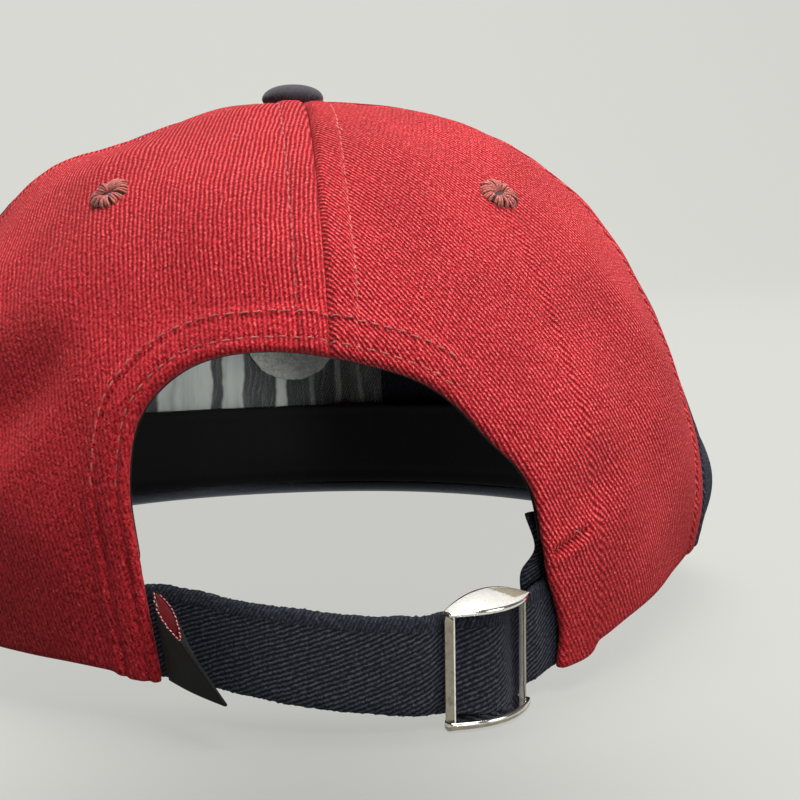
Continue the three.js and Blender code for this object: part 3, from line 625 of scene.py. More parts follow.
class Shader:
    """A material whose nodes are written as short calls."""

    def __init__(self, name):
        self.material = bpy.data.materials.new(name)
        self.material.use_nodes = True
        self.tree = self.material.node_tree
        self.main = self.tree.nodes["Principled BSDF"]

    def put(self, socket, value):
        if isinstance(value, Value):
            self.tree.links.new(value.socket, socket)
        else:
            socket.default_value = value

    def node(self, kind, inputs, output=0, **settings):
        """Adds a node and returns one of its outputs."""
        made = self.tree.nodes.new(kind)
        for key, value in settings.items():
            setattr(made, key, value)
        for key, value in inputs.items():
            self.put(made.inputs[key], value)
        return Value(self, made.outputs[output])

    def math(self, operation, a, b=0.0):
        return self.node("ShaderNodeMath", {0: a, 1: b}, operation=operation)

    def mix(self, factor, a, b):
        return self.node("ShaderNodeMix", {0: factor, 6: a, 7: b}, 2, data_type="RGBA")

    def blend(self, factor, a, b):
        return self.node("ShaderNodeMix", {0: factor, 2: a, 3: b}, data_type="FLOAT")

    def ramp(self, value, low, high, to_low=0.0, to_high=1.0):
        inputs = {0: value, 1: low, 2: high, 3: to_low, 4: to_high}
        return self.node("ShaderNodeMapRange", inputs, interpolation_type="SMOOTHSTEP")

    def joined(self, x, y, z=0.0):
        return self.node("ShaderNodeCombineXYZ", {0: x, 1: y, 2: z})

    def parts(self, vector):
        """The x and y of a vector."""
        return [self.node("ShaderNodeSeparateXYZ", {0: vector}, k) for k in range(2)]

    def uv(self):
        vector = self.node("ShaderNodeUVMap", {}, uv_map="cloth")
        return vector, *self.parts(vector)

    def place(self):
        return self.node("ShaderNodeTexCoord", {}, "Object")

    def noise(self, vector, scale, detail=2.0, rough=0.5):
        inputs = {"Vector": vector, "Scale": scale, "Detail": detail, "Roughness": rough}
        return self.node("ShaderNodeTexNoise", inputs)

    def bump(self, height, distance, strength):
        inputs = {"Strength": strength, "Distance": distance, "Height": height}
        self.put(self.main.inputs["Normal"], self.node("ShaderNodeBump", inputs))

    def set(self, **values):
        for key, value in values.items():
            self.put(self.main.inputs[key.replace("_", " ")], value)


def rgb(r, g, b):
    """Display colour values from 0 to 255 as a linear colour."""
    out = []
    for value in (r, g, b):
        c = value / 255
        out.append(c / 12.92 if c <= 0.04045 else ((c + 0.055) / 1.055) ** 2.4)
    return (*out, 1.0)


def twill(name, tones, pitch, angle, depth, wobble=0.35, sheen=0.25, band_from=None, worn=None, breaks=0.35):
    """Diagonal ribs of spun yarn with fuzz, fibres and slow fading, in dark, middle and light tones.

    band_from is where a selvedge starts; worn gives the heights between which the ribs come out of the fuzz.
    """
    dark, middle, light = tones
    s = Shader(name)
    vector, u, v = s.uv()
    slow = s.noise(vector, 0.035, 3.0)
    bend = s.noise(vector, 0.22)
    fine = s.noise(vector, 2.2, 3.0, 0.65)
    fuzz = s.noise(vector, 1.3, 4.0, 0.7)
    shift = (bend - 0.5) * (wobble * 2)
    jitter = (fine - 0.5) * (pitch * 0.55)

    def turned(turn):
        """Places across and along lines at a turn."""
        c = math.cos(math.radians(turn))
        d = math.sin(math.radians(turn))
        return u * c - v * d, u * d + v * c

    def ribs(turn, gap):
        across, along = turned(turn)
        turns = (across + shift + jitter) / gap
        rib = s.math("SINE", turns * (2 * math.pi)) * 0.5 + 0.5
        float_at = along / (gap * 1.15) + s.math("FLOOR", turns) * 0.37
        knot = s.math("ABSOLUTE", s.math("SINE", float_at * math.pi))
        return rib * (knot * breaks + (1 - breaks))

    def fibres(turn):
        across, along = turned(turn)
        return s.noise(s.joined(across * 3.4, along, turn), 1.0, 1.0)

    height = ribs(angle, pitch)
    if band_from is not None:
        selvedge = ribs(SELVEDGE_ANGLE, pitch * 0.8) * 0.5 + 0.15
        height = s.blend(s.ramp(v, band_from, band_from + 0.35), height, selvedge)
    if worn is not None:
        clear = s.ramp(v + (slow - 0.5) * 50.0, *worn, 0.3, 1.0)
        height = (height - 0.4) * clear + 0.4
    strands = s.math("MAXIMUM", fibres(64.0), fibres(-23.0)) - 0.62
    height = height + (fuzz - 0.5) * 1.6 + strands * 1.6
    # The tone follows the rib height: darker grooves and lighter rib tops, partly the yarn's own tone and
    # partly painted shade in the grooves and painted highlight on the ribs
    tone = s.mix(s.ramp(height, -0.1, 0.55), dark, middle)
    tone = s.mix(s.ramp(height, 0.45, 1.25), tone, light)
    fade = s.ramp(slow, 0.3, 0.7, 0.86, 1.1)
    faded = s.node("ShaderNodeVectorMath", {0: tone, "Scale": fade}, operation="SCALE")
    s.set(Base_Color=faded, Roughness=0.95)
    s.main.inputs["Specular IOR Level"].default_value = 0.12
    s.main.inputs["Sheen Weight"].default_value = sheen
    s.main.inputs["Sheen Roughness"].default_value = 0.5
    s.main.inputs["Sheen Tint"].default_value = light
    s.bump(height, depth * MM, 0.9)
    return s.material


def thread(name, dark, light):
    """Spun sewing thread with fine grain."""
    s = Shader(name)
    place = s.place()
    grain = s.noise(place, 2600.0)
    slow = s.noise(place, 120.0)
    s.set(Base_Color=s.mix(s.ramp(grain * 0.6 + slow * 0.4, 0.3, 0.7), dark, light), Roughness=0.75)
    s.main.inputs["Sheen Weight"].default_value = 0.3
    s.main.inputs["Specular IOR Level"].default_value = 0.25
    s.bump(grain, 0.05 * MM, 0.7)
    return s.material


def plain_weave(name, dark, light, pitch, depth, sheen=0.1, roughness=0.9):
    """A tight plain weave."""
    s = Shader(name)
    vector, u, v = s.uv()
    fuzz = s.noise(vector, 1.1, 3.0, 0.6)
    warp = s.math("SINE", u * (2 * math.pi / pitch))
    weft = s.math("SINE", v * (2 * math.pi / pitch))
    height = warp * weft * 0.5 + 0.5 + (fuzz - 0.5) * 0.8
    s.set(Base_Color=s.mix(s.ramp(height, 0.1, 1.0), dark, light), Roughness=roughness)
    s.main.inputs["Sheen Weight"].default_value = sheen
    s.main.inputs["Specular IOR Level"].default_value = 0.2
    s.bump(height, depth * MM, 0.8)
    return s.material


def chrome(name, metallic, smoothest, roughest, bright=rgb(236, 235, 228), dull=rgb(206, 203, 194)):
    """Plated metal with faint wear; a lower metallic value gives a paler face, which the buckle uses as a
    painted highlight.
    """
    s = Shader(name)
    place = s.place()
    wear = s.noise(place, 900.0, 4.0, 0.6)
    pits = s.noise(place, 2500.0)
    s.set(Metallic=metallic, Roughness=s.ramp(wear, 0.35, 0.75, smoothest, roughest))
    s.set(Base_Color=s.mix(s.ramp(wear, 0.4, 0.8), bright, dull))
    s.bump(pits, 0.01 * MM, 0.5)
    return s.material


def clear_film():
    """Crinkled clear film: clouded on some folds, clear between."""
    s = Shader("clear_film")
    vector, u, v = s.uv()
    along = u + (s.noise(vector, 0.1) - 0.5) * 3.0
    streak = s.joined(along, v * 0.08)
    cloud = s.noise(streak, 0.35, 3.0, 0.55)
    fine = s.noise(streak, 1.2)
    mask = s.ramp(fine, 0.45, 0.75) * 0.1
    for at, half_width, strength in FILM_FOLDS:
        away = s.math("ABSOLUTE", along - at)
        fold = s.ramp(away, half_width - 0.5, half_width + 0.5, strength, 0.0)
        mask = s.math("MAXIMUM", mask, fold)
    mask = mask * s.ramp(cloud, 0.25, 0.5, 0.65, 1.0)
    s.set(Base_Color=s.mix(cloud, rgb(206, 218, 210), rgb(246, 252, 246)), Roughness=0.35)
    s.set(Alpha=mask * 0.92 + 0.06)
    s.bump(fine, 0.1 * MM, 0.5)
    return s.material


def felt(name, dark, light):
    """Matted wool fibres."""
    s = Shader(name)
    place = s.place()
    height = s.noise(place, 420.0, 5.0, 0.7) * 0.6 + s.noise(place, 1500.0, 3.0, 0.6) * 0.4
    s.set(Base_Color=s.mix(s.ramp(height, 0.35, 0.65), dark, light), Roughness=0.95)
    s.main.inputs["Sheen Weight"].default_value = 0.3
    s.bump(height, 0.6 * MM, 0.8)
    return s.material


RED_TONES = rgb(102, 9, 16), rgb(182, 39, 47), rgb(246, 108, 108)
NAVY_TONES = rgb(20, 21, 29), rgb(45, 46, 58), rgb(92, 92, 104)
WEBBING_TONES = rgb(20, 22, 29), rgb(43, 45, 53), rgb(84, 86, 95)
REDS = {}
for panel_name, heights in RIBS_FROM.items():
    REDS[panel_name] = twill("red_twill_" + panel_name, RED_TONES, **TWILL, depth=0.2, worn=heights)
NAVY = twill("navy_twill", NAVY_TONES, **TWILL, depth=0.12, sheen=0.12)
WEBBING = twill("navy_webbing", WEBBING_TONES, 0.76, 63.0, 0.11, 0.25, 0.12, band_from=5.5, breaks=0.12)
BLACK = plain_weave("black_cloth", rgb(8, 8, 9), rgb(24, 24, 26), 0.5, 0.08)
BINDING = plain_weave("navy_binding", rgb(104, 112, 126), rgb(150, 158, 172), 0.4, 0.05, 0.15, 0.5)
BUTTON_CLOTH = plain_weave("button_cloth", rgb(28, 28, 34), rgb(68, 64, 71), 0.5, 0.05, 0.15)
TAG_BLACK = plain_weave("tag_black", rgb(7, 7, 7), rgb(20, 19, 19), 0.45, 0.06, 0.02, 0.8)
TAG_RED = plain_weave("tag_red", rgb(120, 8, 22), rgb(196, 26, 46), 0.45, 0.05, 0.3, 0.45)
RED_THREAD = thread("red_thread", rgb(96, 30, 30), rgb(196, 98, 88))
LOOSE_THREAD = thread("loose_thread", rgb(186, 84, 84), rgb(222, 142, 138))
NAVY_THREAD = thread("navy_thread", rgb(14, 17, 28), rgb(56, 62, 80))
EYELET_THREAD = thread("eyelet_thread", rgb(104, 34, 32), rgb(198, 104, 90))
# Dark thread of the tack's stitches; the same tone on the disc under each eyelet's stitches is painted shade
EYELET_SHADE_AND_DARK_THREAD = thread("eyelet_shade_and_dark_thread", rgb(34, 10, 10), rgb(70, 22, 20))
CHROME = chrome("buckle_chrome", 1.0, 0.06, 0.2)
# Paler half-metallic copy of the chrome, a painted highlight on parts of the buckle
PAINTED_HIGHLIGHT_METAL = chrome("buckle_painted_highlight", 0.4, 0.16, 0.3)
# Darker copy of the chrome, painted shade on the lower cheek, parts of the bars and the middle bar
PAINTED_SHADE_METAL = chrome("buckle_painted_shade", 1.0, 0.15, 0.35, rgb(178, 170, 154), rgb(140, 132, 118))
# Brownish copy of the chrome, a painted reflection on part of the top cheek
PAINTED_REFLECTION_METAL = chrome("buckle_painted_reflection", 0.4, 0.25, 0.4, rgb(176, 166, 146), rgb(142, 132, 114))
# Dark copy of the chrome, painted shade along the top cheek's back edge
PAINTED_DARK_EDGE_METAL = chrome("buckle_painted_dark_edge", 1.0, 0.25, 0.4, rgb(70, 66, 60), rgb(52, 48, 44))
CLEAR = clear_film()
FELT = felt("grey_felt", rgb(186, 191, 183), rgb(250, 252, 246))

# Panels
PANELS = {
    "panel_back_left": (0.0, SIDE_SEAM), "panel_side_left": (SIDE_SEAM, FRONT_SEAM),
    "panel_front_left": (FRONT_SEAM, 180.0), "panel_front_right": (180.0, 360.0 - FRONT_SEAM),
    "panel_side_right": (360.0 - FRONT_SEAM, 360.0 - SIDE_SEAM),
    "panel_back_right": (360.0 - SIDE_SEAM, 360.0),
}
SEAMS = sorted({a for pair in PANELS.values() for a in pair if a < 360.0})
ARCH_SKIN = arch_place(ARCH_SETBACK, 400)
ARCH_EDGE = skin_point(ARCH_SKIN[:, 0], ARCH_SKIN[:, 1], 0.0)
ARCH_TOP_CLIMB = float(np.interp(0.0, ARCH_SKIN[::-1, 0], ARCH_SKIN[::-1, 1]))
TACK_SKIN = stacked(*rear_place(*np.array(TACK["ends"]).T))
TACK_EDGE = skin_point(TACK_SKIN[:, 0], TACK_SKIN[:, 1], 0.0)


def gore_uv(azimuth, climb, centre, turn):
    """Flat cloth coordinates in mm across and up from a panel's middle line, turned by the panel's cut."""
    steps = np.linspace(0, 90, 361)
    line = crown_point(np.full(len(steps), centre), steps)
    radius = np.hypot(line[:, 0], line[:, 1])
    across = np.radians(signed(azimuth - centre)) * np.interp(climb, steps, radius)
    rise = np.interp(climb, steps, arc_length(line))
    c, s = math.cos(math.radians(turn)), math.sin(math.radians(turn))
    return np.stack([across * c - rise * s, across * s + rise * c], axis=-1)


def ripple(azimuth, climb):
    """Slow unevenness of worn cloth, in mm."""
    p = crown_point(azimuth, climb)
    total = 0.0
    rng = np.random.default_rng(21)
    for length, amount in RIPPLES:
        for _ in range(3):
            way = unit(rng.normal(size=3))
            total = total + amount * np.sin(2 * np.pi * (p @ way) / length + rng.uniform(*PHASES))
    return total * 0.5


def seam_relief(azimuth, climb):
    """Inward depth of the seams: a groove, a raised allowance beside it and a stitched line."""
    p = crown_point(swung(azimuth, climb), climb)
    radius = np.hypot(p[..., 0], p[..., 1])
    form = SEAM_FORM
    relief = 0.0
    for seam in SEAMS:
        away = np.abs(np.radians(signed(azimuth - seam))) * radius
        from_row = away - STITCH["row_from_seam"]
        relief = relief + form["groove"] * np.exp(-((away / form["groove_width"]) ** form["groove_power"]))
        within = 1 - smooth_step(away, *form["raised_to"])
        relief = relief - form["raised"] * within * smooth_step(away, *form["raised_from"])
        relief = relief + form["row"] * bell(from_row, form["row_width"])
        wave = np.sin(2 * np.pi * p[..., 2] / STITCH["pitch"] / form["pucker_pitch"])
        relief = relief + form["pucker"] * wave * bell(from_row, form["pucker_width"])
    return relief


def tack_relief(points):
    """Inward depth of the crease, with a low swelling above and below it."""
    span = TACK_EDGE[1] - TACK_EDGE[0]
    share = np.clip((points - TACK_EDGE[0]) @ span / (span @ span), 0, 1)
    away = np.linalg.norm(points - TACK_EDGE[0] - share[..., None] * span, axis=-1)
    groove = TACK["depth"] * bell(away, TACK["half_width"])
    return groove - TACK["swelling"] * bell(away - TACK["swelling_at"], TACK["swelling_width"])


def arch_relief(points):
    """Inward depth beside the arch: doubled hem and two stitched lines."""
    flat = points.reshape(-1, 3)
    gap = np.full(len(flat), 50.0)
    along = np.zeros(len(flat))
    lowest_y, farthest_x = ARCH_REACH
    near = np.nonzero((flat[:, 1] > lowest_y) & (np.abs(flat[:, 0]) < farthest_x))[0]
    arc = arc_length(ARCH_EDGE)
    for block in np.array_split(near, max(1, len(near) // 2000)):
        span = np.linalg.norm(flat[block, None, :] - ARCH_EDGE[None, :, :], axis=-1)
        best = span.argmin(1)
        gap[block] = span[np.arange(len(block)), best]
        along[block] = arc[best]
    form = HEM_FORM
    sewn = smooth_step(flat[:, 0], *PLAIN_LEG)
    creased = smooth_step(flat[:, 0], *CREASED_LEG)
    relief = form["edge"] * bell(gap, form["edge_width"])
    gap = gap + ARCH_SETBACK
    relief = relief - form["raised"] * (0.3 + 0.7 * sewn) * (1 - smooth_step(gap, *form["raised_to"]))
    for row in ARCH_ROWS:
        crease = form["creased"] * creased * (0.6 + 0.4 * np.sin(along / form["crease_pitch"] + row))
        relief = relief + (form["row"] * sewn + crease) * bell(gap - row, form["row_width"])
        pucker = form["pucker"] * sewn * np.sin(2 * np.pi * along / STITCH["pitch"])
        relief = relief + pucker * bell(gap - row, form["pucker_width"])
    return relief.reshape(points.shape[:-1])


def back_grid(side, rows=118, columns=150):
    """Azimuth and climb of a grid beside the arch, for the left (1) or right (-1) back panel."""
    def flat(azimuth, climb):
        a = np.radians(azimuth)
        return np.stack([(90 - climb) * np.cos(a), (90 - climb) * np.sin(a)], axis=-1)

    skin = ARCH_SKIN[ARCH_SKIN[:, 1] > 1e-3]
    half = skin[skin[:, 0] * side > 0][::-side]
    foot = half[-1, 0]
    edge = np.concatenate([[[0.0, ARCH_TOP_CLIMB]], half, [[foot, 0.0]]])
    p = eased(rows)[:, None, None]
    q = eased(columns)[None, :, None]
    seam = flat(np.zeros(rows), ARCH_TOP_CLIMB + (BACK_TOP_CLIMB - ARCH_TOP_CLIMB) * eased(rows))[:, None, :]
    rim = flat(foot + (side * SIDE_SEAM - foot) * eased(rows), np.zeros(rows))[:, None, :]
    arch_flat = resample(flat(edge[:, 0], edge[:, 1]), 600)
    arch = points_at(eased(columns) * 599, np.arange(600), arch_flat)[None, :, :]
    far = flat(np.full(columns, side * SIDE_SEAM), BACK_TOP_CLIMB * (1 - eased(columns)))[None, :, :]
    grid = (1 - q) * seam + q * rim + (1 - p) * arch + p * far
    grid = grid - ((1 - p) * (1 - q) * seam[0, 0] + p * (1 - q) * seam[-1, 0])
    grid = grid - ((1 - p) * q * rim[0, 0] + p * q * rim[-1, 0])
    azimuth = np.degrees(np.arctan2(grid[..., 1], grid[..., 0]))
    climb = np.maximum(90 - np.hypot(grid[..., 0], grid[..., 1]), 0.0)
    return azimuth, climb


def wedge_grid(start, end, columns=90, rows=100):
    climb = WEDGE_TOP_CLIMB * np.linspace(0, 1, rows) ** 1.25
    return grid_of(start + (end - start) * eased(columns), climb)


def trim_gap(azimuth, climb, start, end):
    """Keeps a small gap to the neighbouring panel."""
    gap = np.degrees(SEAM_GAP / np.maximum(crown_radius(azimuth, climb), 1.0))
    share = signed(azimuth - (start + end) / 2) / ((end - start) / 2)
    return azimuth - np.clip(share, -1, 1) * gap


def add_panel(name):
    start, end = PANELS[name]
    back = "back" in name
    if back:
        azimuth, climb = back_grid(1 if name.endswith("left") else -1)
    else:
        azimuth, climb = wedge_grid(start, end)
    straight = trim_gap(azimuth, climb, start, end)
    azimuth = swung(straight, climb)
    relief = seam_relief(straight, climb) + ripple(azimuth, climb)
    if back:
        skin = skin_point(azimuth, climb, 0.0)
        relief = relief + arch_relief(skin) + tack_relief(skin)
    outer = skin_point(azimuth, climb, relief)
    inner = skin_point(azimuth, climb, np.maximum(relief * 0.5, 0) + CLOTH)
    uv = gore_uv(straight, climb, (start + end) / 2, CUT_TURN.get(name, 0.0))
    rounds = (0.35, 0.1, 0.1, 0.4) if back else (0.1, 0.1, 0.4, 0.1)
    material, slot = (REDS[name], "red_twill") if back else (NAVY, "navy_twill")
    add_shell(name + "_cloth", outer, inner, uv, material, name, rounds)


for panel_name in PANELS:
    add_panel(panel_name)


# Stitch rows and loose threads on the crown
def seam_row(seam, offset, low, high):
    """Points and normals of a stitched line beside a seam, at an offset in mm."""
    climb = np.linspace(low, high, 260)
    straight = seam + np.degrees(offset / crown_radius(np.full(len(climb), seam), climb))
    azimuth = swung(straight, climb)
    relief = seam_relief(straight, climb) + ripple(azimuth, climb)
    return skin_point(azimuth, climb, relief), crown_normal(azimuth, climb)


def crown_tubes():
    """Stitches beside the seams and the arch: those on the back panels, and those on the others."""
    on_back = []
    on_others = []
    for seam in SEAMS:
        low = STITCH_CLIMBS["over_rim"]
        if seam == 0.0:
            low = ARCH_TOP_CLIMB + STITCH_CLIMBS["over_arch"]
        for direction in (-1, 1):
            row = seam_row(seam, direction * STITCH["row_from_seam"], low, STITCH_CLIMBS["top"])
            beside_back = abs(float(signed(seam + direction))) < SIDE_SEAM
            (on_back if beside_back else on_others).extend(stitch_tubes(*row))
    for distance in ARCH_ROWS:
        place = arch_place(distance, 500)
        skin = skin_point(place[:, 0], place[:, 1], 0.0)
        shown = (skin[:, 2] > SUNK_BELOW) & (skin[:, 0] > sum(PLAIN_LEG) / 2)
        azimuth, climb = place[shown].T
        depth = seam_relief(azimuth, climb) + ripple(azimuth, climb) + arch_relief(skin[shown])
        on_back.extend(stitch_tubes(skin_point(azimuth, climb, depth), crown_normal(azimuth, climb)))
    return on_back, on_others


def tack_tubes(count=7):
    """Short dark threads lying in the sewn-down crease of the right leg."""
    part = np.linspace(0.05, 0.95, count)
    line = TACK_EDGE[0] + (TACK_EDGE[1] - TACK_EDGE[0]) * part[:, None]
    way = unit(TACK_EDGE[1] - TACK_EDGE[0])
    normal = unit(np.cross(np.cross(way, np.array([0.0, 1.0, 0.0])), way))
    t = np.linspace(-1, 1, 7)[:, None]
    sunk = normal * (TACK["depth"] - 0.25)
    tubes = []
    for middle in line:
        aside = np.cross(normal, way) * RNG.normal(0.0, 0.3)
        centre = middle + (way + aside) * t * RNG.uniform(0.5, 1.0) - sunk
        tubes.append(even_tube(centre, 0.12, normal, 0.1 / 0.12))
    return tubes


def fibre_tube(azimuth, climb, turn, length, radius, lift):
    """One curved hair lying on the cloth."""
    normal = crown_normal(azimuth, climb)
    place = skin_point(azimuth, climb, ripple(np.array(azimuth), np.array(climb)))
    level_way, up_way = ways_on(normal)
    t = np.linspace(-0.5, 0.5, 9)[:, None]
    way = math.sin(turn) * up_way - math.cos(turn) * level_way
    aside = np.cross(normal, way)
    centre = place + way * t * length + aside * (t**2 - 0.1) * length * 0.35
    centre = centre + normal * (0.05 + lift * (0.5 + t))
    return even_tube(centre, radius, normal)


def fibre_tubes():
    rng = np.random.default_rng(31)
    tubes = []
    for _ in range(FIBRES["count"]):
        azimuth = rng.uniform(*FIBRES["azimuth"])
        climb = rng.uniform(*FIBRES["climb"])
        turn = rng.uniform(0, 2 * math.pi)
        length = rng.uniform(*FIBRES["length"])
        tubes.append(fibre_tube(azimuth, climb, turn, length, FIBRES["radius"], 0.1))
    for x, level, turn, length in LOOSE_ENDS:
        azimuth, climb = rear_place(np.array([x]), np.array([level]))
        tubes.append(fibre_tube(azimuth[0], climb[0], math.radians(turn), length, 0.07, 0.3))
    return tubes


back_tubes, other_tubes = crown_tubes()
add_stitches("back_topstitching", back_tubes, RED_THREAD)
add_stitches("loose_fibres", fibre_tubes(), LOOSE_THREAD)
add_stitches("tack_threads", tack_tubes(), EYELET_SHADE_AND_DARK_THREAD)
add_stitches("side_topstitching", other_tubes, NAVY_THREAD)


# Sewn eyelets
def add_eyelet(name, azimuth):
    """Radial satin stitches round a slit, over a dark disc that is painted shade for the slit and the gaps
    between stitches.
    """
    climb = eyelet_climb(azimuth)
    normal = crown_normal(azimuth, climb)
    place = skin_point(azimuth, climb, ripple(np.array(azimuth), np.array(climb)))
    level_way, up_way = ways_on(normal)
    rng = np.random.default_rng(int(azimuth))
    sewing = EYELET_SEWING

    def way_at(angle):
        return np.cos(angle)[:, None] * level_way + np.sin(angle)[:, None] * up_way

    tubes = []
    t = np.linspace(0, 1, 9)
    for k in range(sewing["strands"]):
        angle = 2 * math.pi * (k + rng.uniform(-0.25, 0.25)) / sewing["strands"]
        reach = sewing["reach"] * rng.uniform(0.92, 1.08)
        slit = angle - sewing["slit_turn"]
        inner = 1 / math.hypot(math.cos(slit) / sewing["slit_long"], math.sin(slit) / sewing["slit_short"])
        distance = inner + (reach - inner) * t
        twist = angle + rng.uniform(-0.06, 0.06) + 0.1 * (t - 0.5)
        lift = (sewing["lift"] + sewing["sink"]) * np.sin(np.pi * t) ** 0.5 * rng.uniform(0.85, 1.1)
        centre = place + way_at(twist) * distance[:, None] + normal * (lift - sewing["sink"])[:, None]
        radius = 0.12 + 0.19 * t * rng.uniform(0.85, 1.1)
        tubes.append((centre, radius, np.full(9, 0.24), repeated(normal, 9)))
    strands = join_tubes(tubes, 6)
    turns = 24
    ring = way_at(np.linspace(0, 2 * np.pi, turns, endpoint=False))
    # A dark disc under the stitches: painted shade for the slit and the gaps between them
    painted_shade_disc = np.concatenate([place + ring * sewing["reach"] * 0.9 + normal * 0.08, [place + normal * 0.12]])
    fan = [(k, (k + 1) % turns, turns) for k in range(turns)]
    points, faces = merge_parts([strands, (painted_shade_disc, fan)])
    kinds = np.zeros(len(faces), np.int32)
    kinds[-turns:] = 1
    strand = EYELET_THREAD if "back" in name else NAVY_THREAD
    mesh = make_mesh(name, points, faces, None, kinds)
    add_object(name + "_sewn", mesh, [strand, EYELET_SHADE_AND_DARK_THREAD], name)


for eyelet_name, eyelet_azimuth in EYELETS.items():
    add_eyelet(eyelet_name, eyelet_azimuth)


# Covered button
def add_button():
    turns = 64
    rings = 20
    skirt_share = 0.2
    angle = np.linspace(0, 2 * np.pi, turns, endpoint=False)
    top = crown_point(0.0, 89.999)
    points = []
    uv = []
    for k in range(rings + 1):
        part = k / rings
        if part < skirt_share:
            radius = BUTTON["radius"] * (0.9 + 0.1 * math.sin(part / skirt_share * math.pi / 2))
            height = BUTTON["skirt"] * part / skirt_share
        else:
            turn = (part - skirt_share) / (1 - skirt_share) * math.pi / 2
            radius = BUTTON["radius"] * math.cos(turn) ** 0.9
            height = BUTTON["skirt"] + (BUTTON["height"] - BUTTON["skirt"]) * math.sin(turn)
        pleat = 1 + 0.018 * np.cos(9 * angle) * max(0.0, 1 - part * 2.2)
        x = radius * pleat * np.cos(angle)
        y = radius * pleat * np.sin(angle)
        points.append(stacked(x, y, height))
        uv.append(stacked(x, y) * (1 + 0.3 * (1 - part)))
    points = np.concatenate(points) + np.array([top[0] + BUTTON["offset"], top[1], top[2] + BUTTON["gap"]])
    faces = []
    for k in range(rings):
        low = k * turns
        high = low + turns
        for s in range(turns):
            t = (s + 1) % turns
            faces.append((low + s, low + t, high + t, high + s))
    faces.append(tuple(reversed(range(turns))))
    mesh = make_mesh("button", points, faces, np.concatenate(uv))
    add_object("button_cover", mesh, BUTTON_CLOTH, "top_button")


add_button()


# Peak
def peak_edges(count):
    """Inner and outer edge of the flat peak in plan, from the right end round the front to the left end."""
    turn = np.linspace(-PEAK_END_AZIMUTH, -360.0 + PEAK_END_AZIMUTH, count)
    inner = skin_point(turn, np.zeros(count), PEAK["inset"])[:, :2]
    reach = PEAK["length"] + CROWN["half_length_front"] + PEAK["widest_at"]
    power = 2 / PEAK["exponent"]
    angle = np.linspace(math.pi, 0, 400)
    across = np.cos(angle)
    x = PEAK["half_width"] * np.sign(across) * np.abs(across) ** power
    y = PEAK["widest_at"] - reach * np.abs(np.sin(angle)) ** power
    bend = np.linspace(0, math.pi / 2, 40)
    ends = []
    for side in (-1, 1):
        root = abs(float(crown_point(side * PEAK_END_AZIMUTH, 0.0)[0])) + PEAK["gap"]
        corner_x = side * (root + (PEAK["half_width"] - root) * np.cos(bend))
        ends.append(stacked(corner_x, PEAK["widest_at"] + PEAK["end_length"] * np.sin(bend)))
    outer = np.concatenate([ends[0][::-1], stacked(x, y)[1:-1], ends[1]])
    return inner, resample(outer, count)


def peak_top(y):
    return peak_level(y) + CROWN["lean"] * (y - CROWN["lean_pivot"]) - PEAK["gap"]


def add_peak():
    columns = 220
    inner, outer = peak_edges(columns)
    part = eased(64, 0.5)
    plan = inner[:, None, :] * (1 - part[None, :, None]) + outer[:, None, :] * part[None, :, None]
    quilt = np.zeros(part.shape)
    for row in PEAK_ROWS:
        quilt = quilt - PEAK_QUILT * bell(part - row, 0.008)
    edge = np.minimum(part, 1 - part)
    soft = -0.9 * np.exp(-edge / 0.012)
    top = peak_top(plan[..., 1]) + quilt[None, :] + soft[None, :]
    low = np.maximum(peak_top(plan[..., 1]) - PEAK["thickness"] - quilt[None, :] - soft[None, :], 0.0)
    upper = np.concatenate([plan, top[..., None]], axis=-1)
    under = np.concatenate([plan, low[..., None]], axis=-1)
    points, faces, uvs, count = shell_parts(upper, under, plan, (0.3, 0.3, 0.7, 0.0))
    kinds = np.zeros(len(faces), np.int32)
    kinds[:2 * count] = np.tile(np.arange(len(part) - 1) < PEAK_BOUND_ROWS, 2 * (columns - 1))
    kinds[2 * count:].reshape(len(EDGE_STEPS) + 1, -1)[:, :columns - 1] = 1
    mesh = make_mesh("peak", points, faces.tolist(), uvs, kinds)
    add_object("peak_cloth", mesh, [NAVY, BINDING], "peak")
    tubes = []
    for row in PEAK_ROWS:
        line = (inner * (1 - row) + outer * row)[6:-6]
        level = peak_top(line[:, 1]) - PEAK_QUILT
        up = repeated(UPWARD, len(line))
        tubes.extend(stitch_tubes(np.concatenate([line, level[:, None]], axis=-1), up, 2.8, 2.2))
    add_stitches("peak_stitching", tubes, NAVY_THREAD)


add_peak()


# Tape, sweatband, film and patch inside the crown
def lined(azimuth, climb, inset, thickness):
    """Outer and inner face of a layer inside the crown."""
    return skin_point(azimuth, climb, inset), skin_point(azimuth, climb, inset + thickness)


def add_arch_tape():
    tape = ARCH_TAPE
    lanes = 8
    margins = np.linspace(-tape["inside"], tape["outside"], lanes)
    grid = np.stack([arch_place(margin, 300) for margin in margins], axis=1)
    grid = grid[crown_point(grid[:, 0, 0], grid[:, 0, 1])[:, 2] > tape["lowest"]]
    outer, inner = lined(grid[..., 0], grid[..., 1], CLOTH + LAYER_GAP, tape["thickness"])
    across = np.linspace(0, tape["inside"] + tape["outside"], lanes)
    uv = stacked(arc_length(outer[:, 0])[:, None], across)
    rounds = (0.2, 0.2, 0.3, 0.3)
    add_shell("arch_tape_cloth", outer, inner, uv, TAG_BLACK, "arch_tape", rounds)


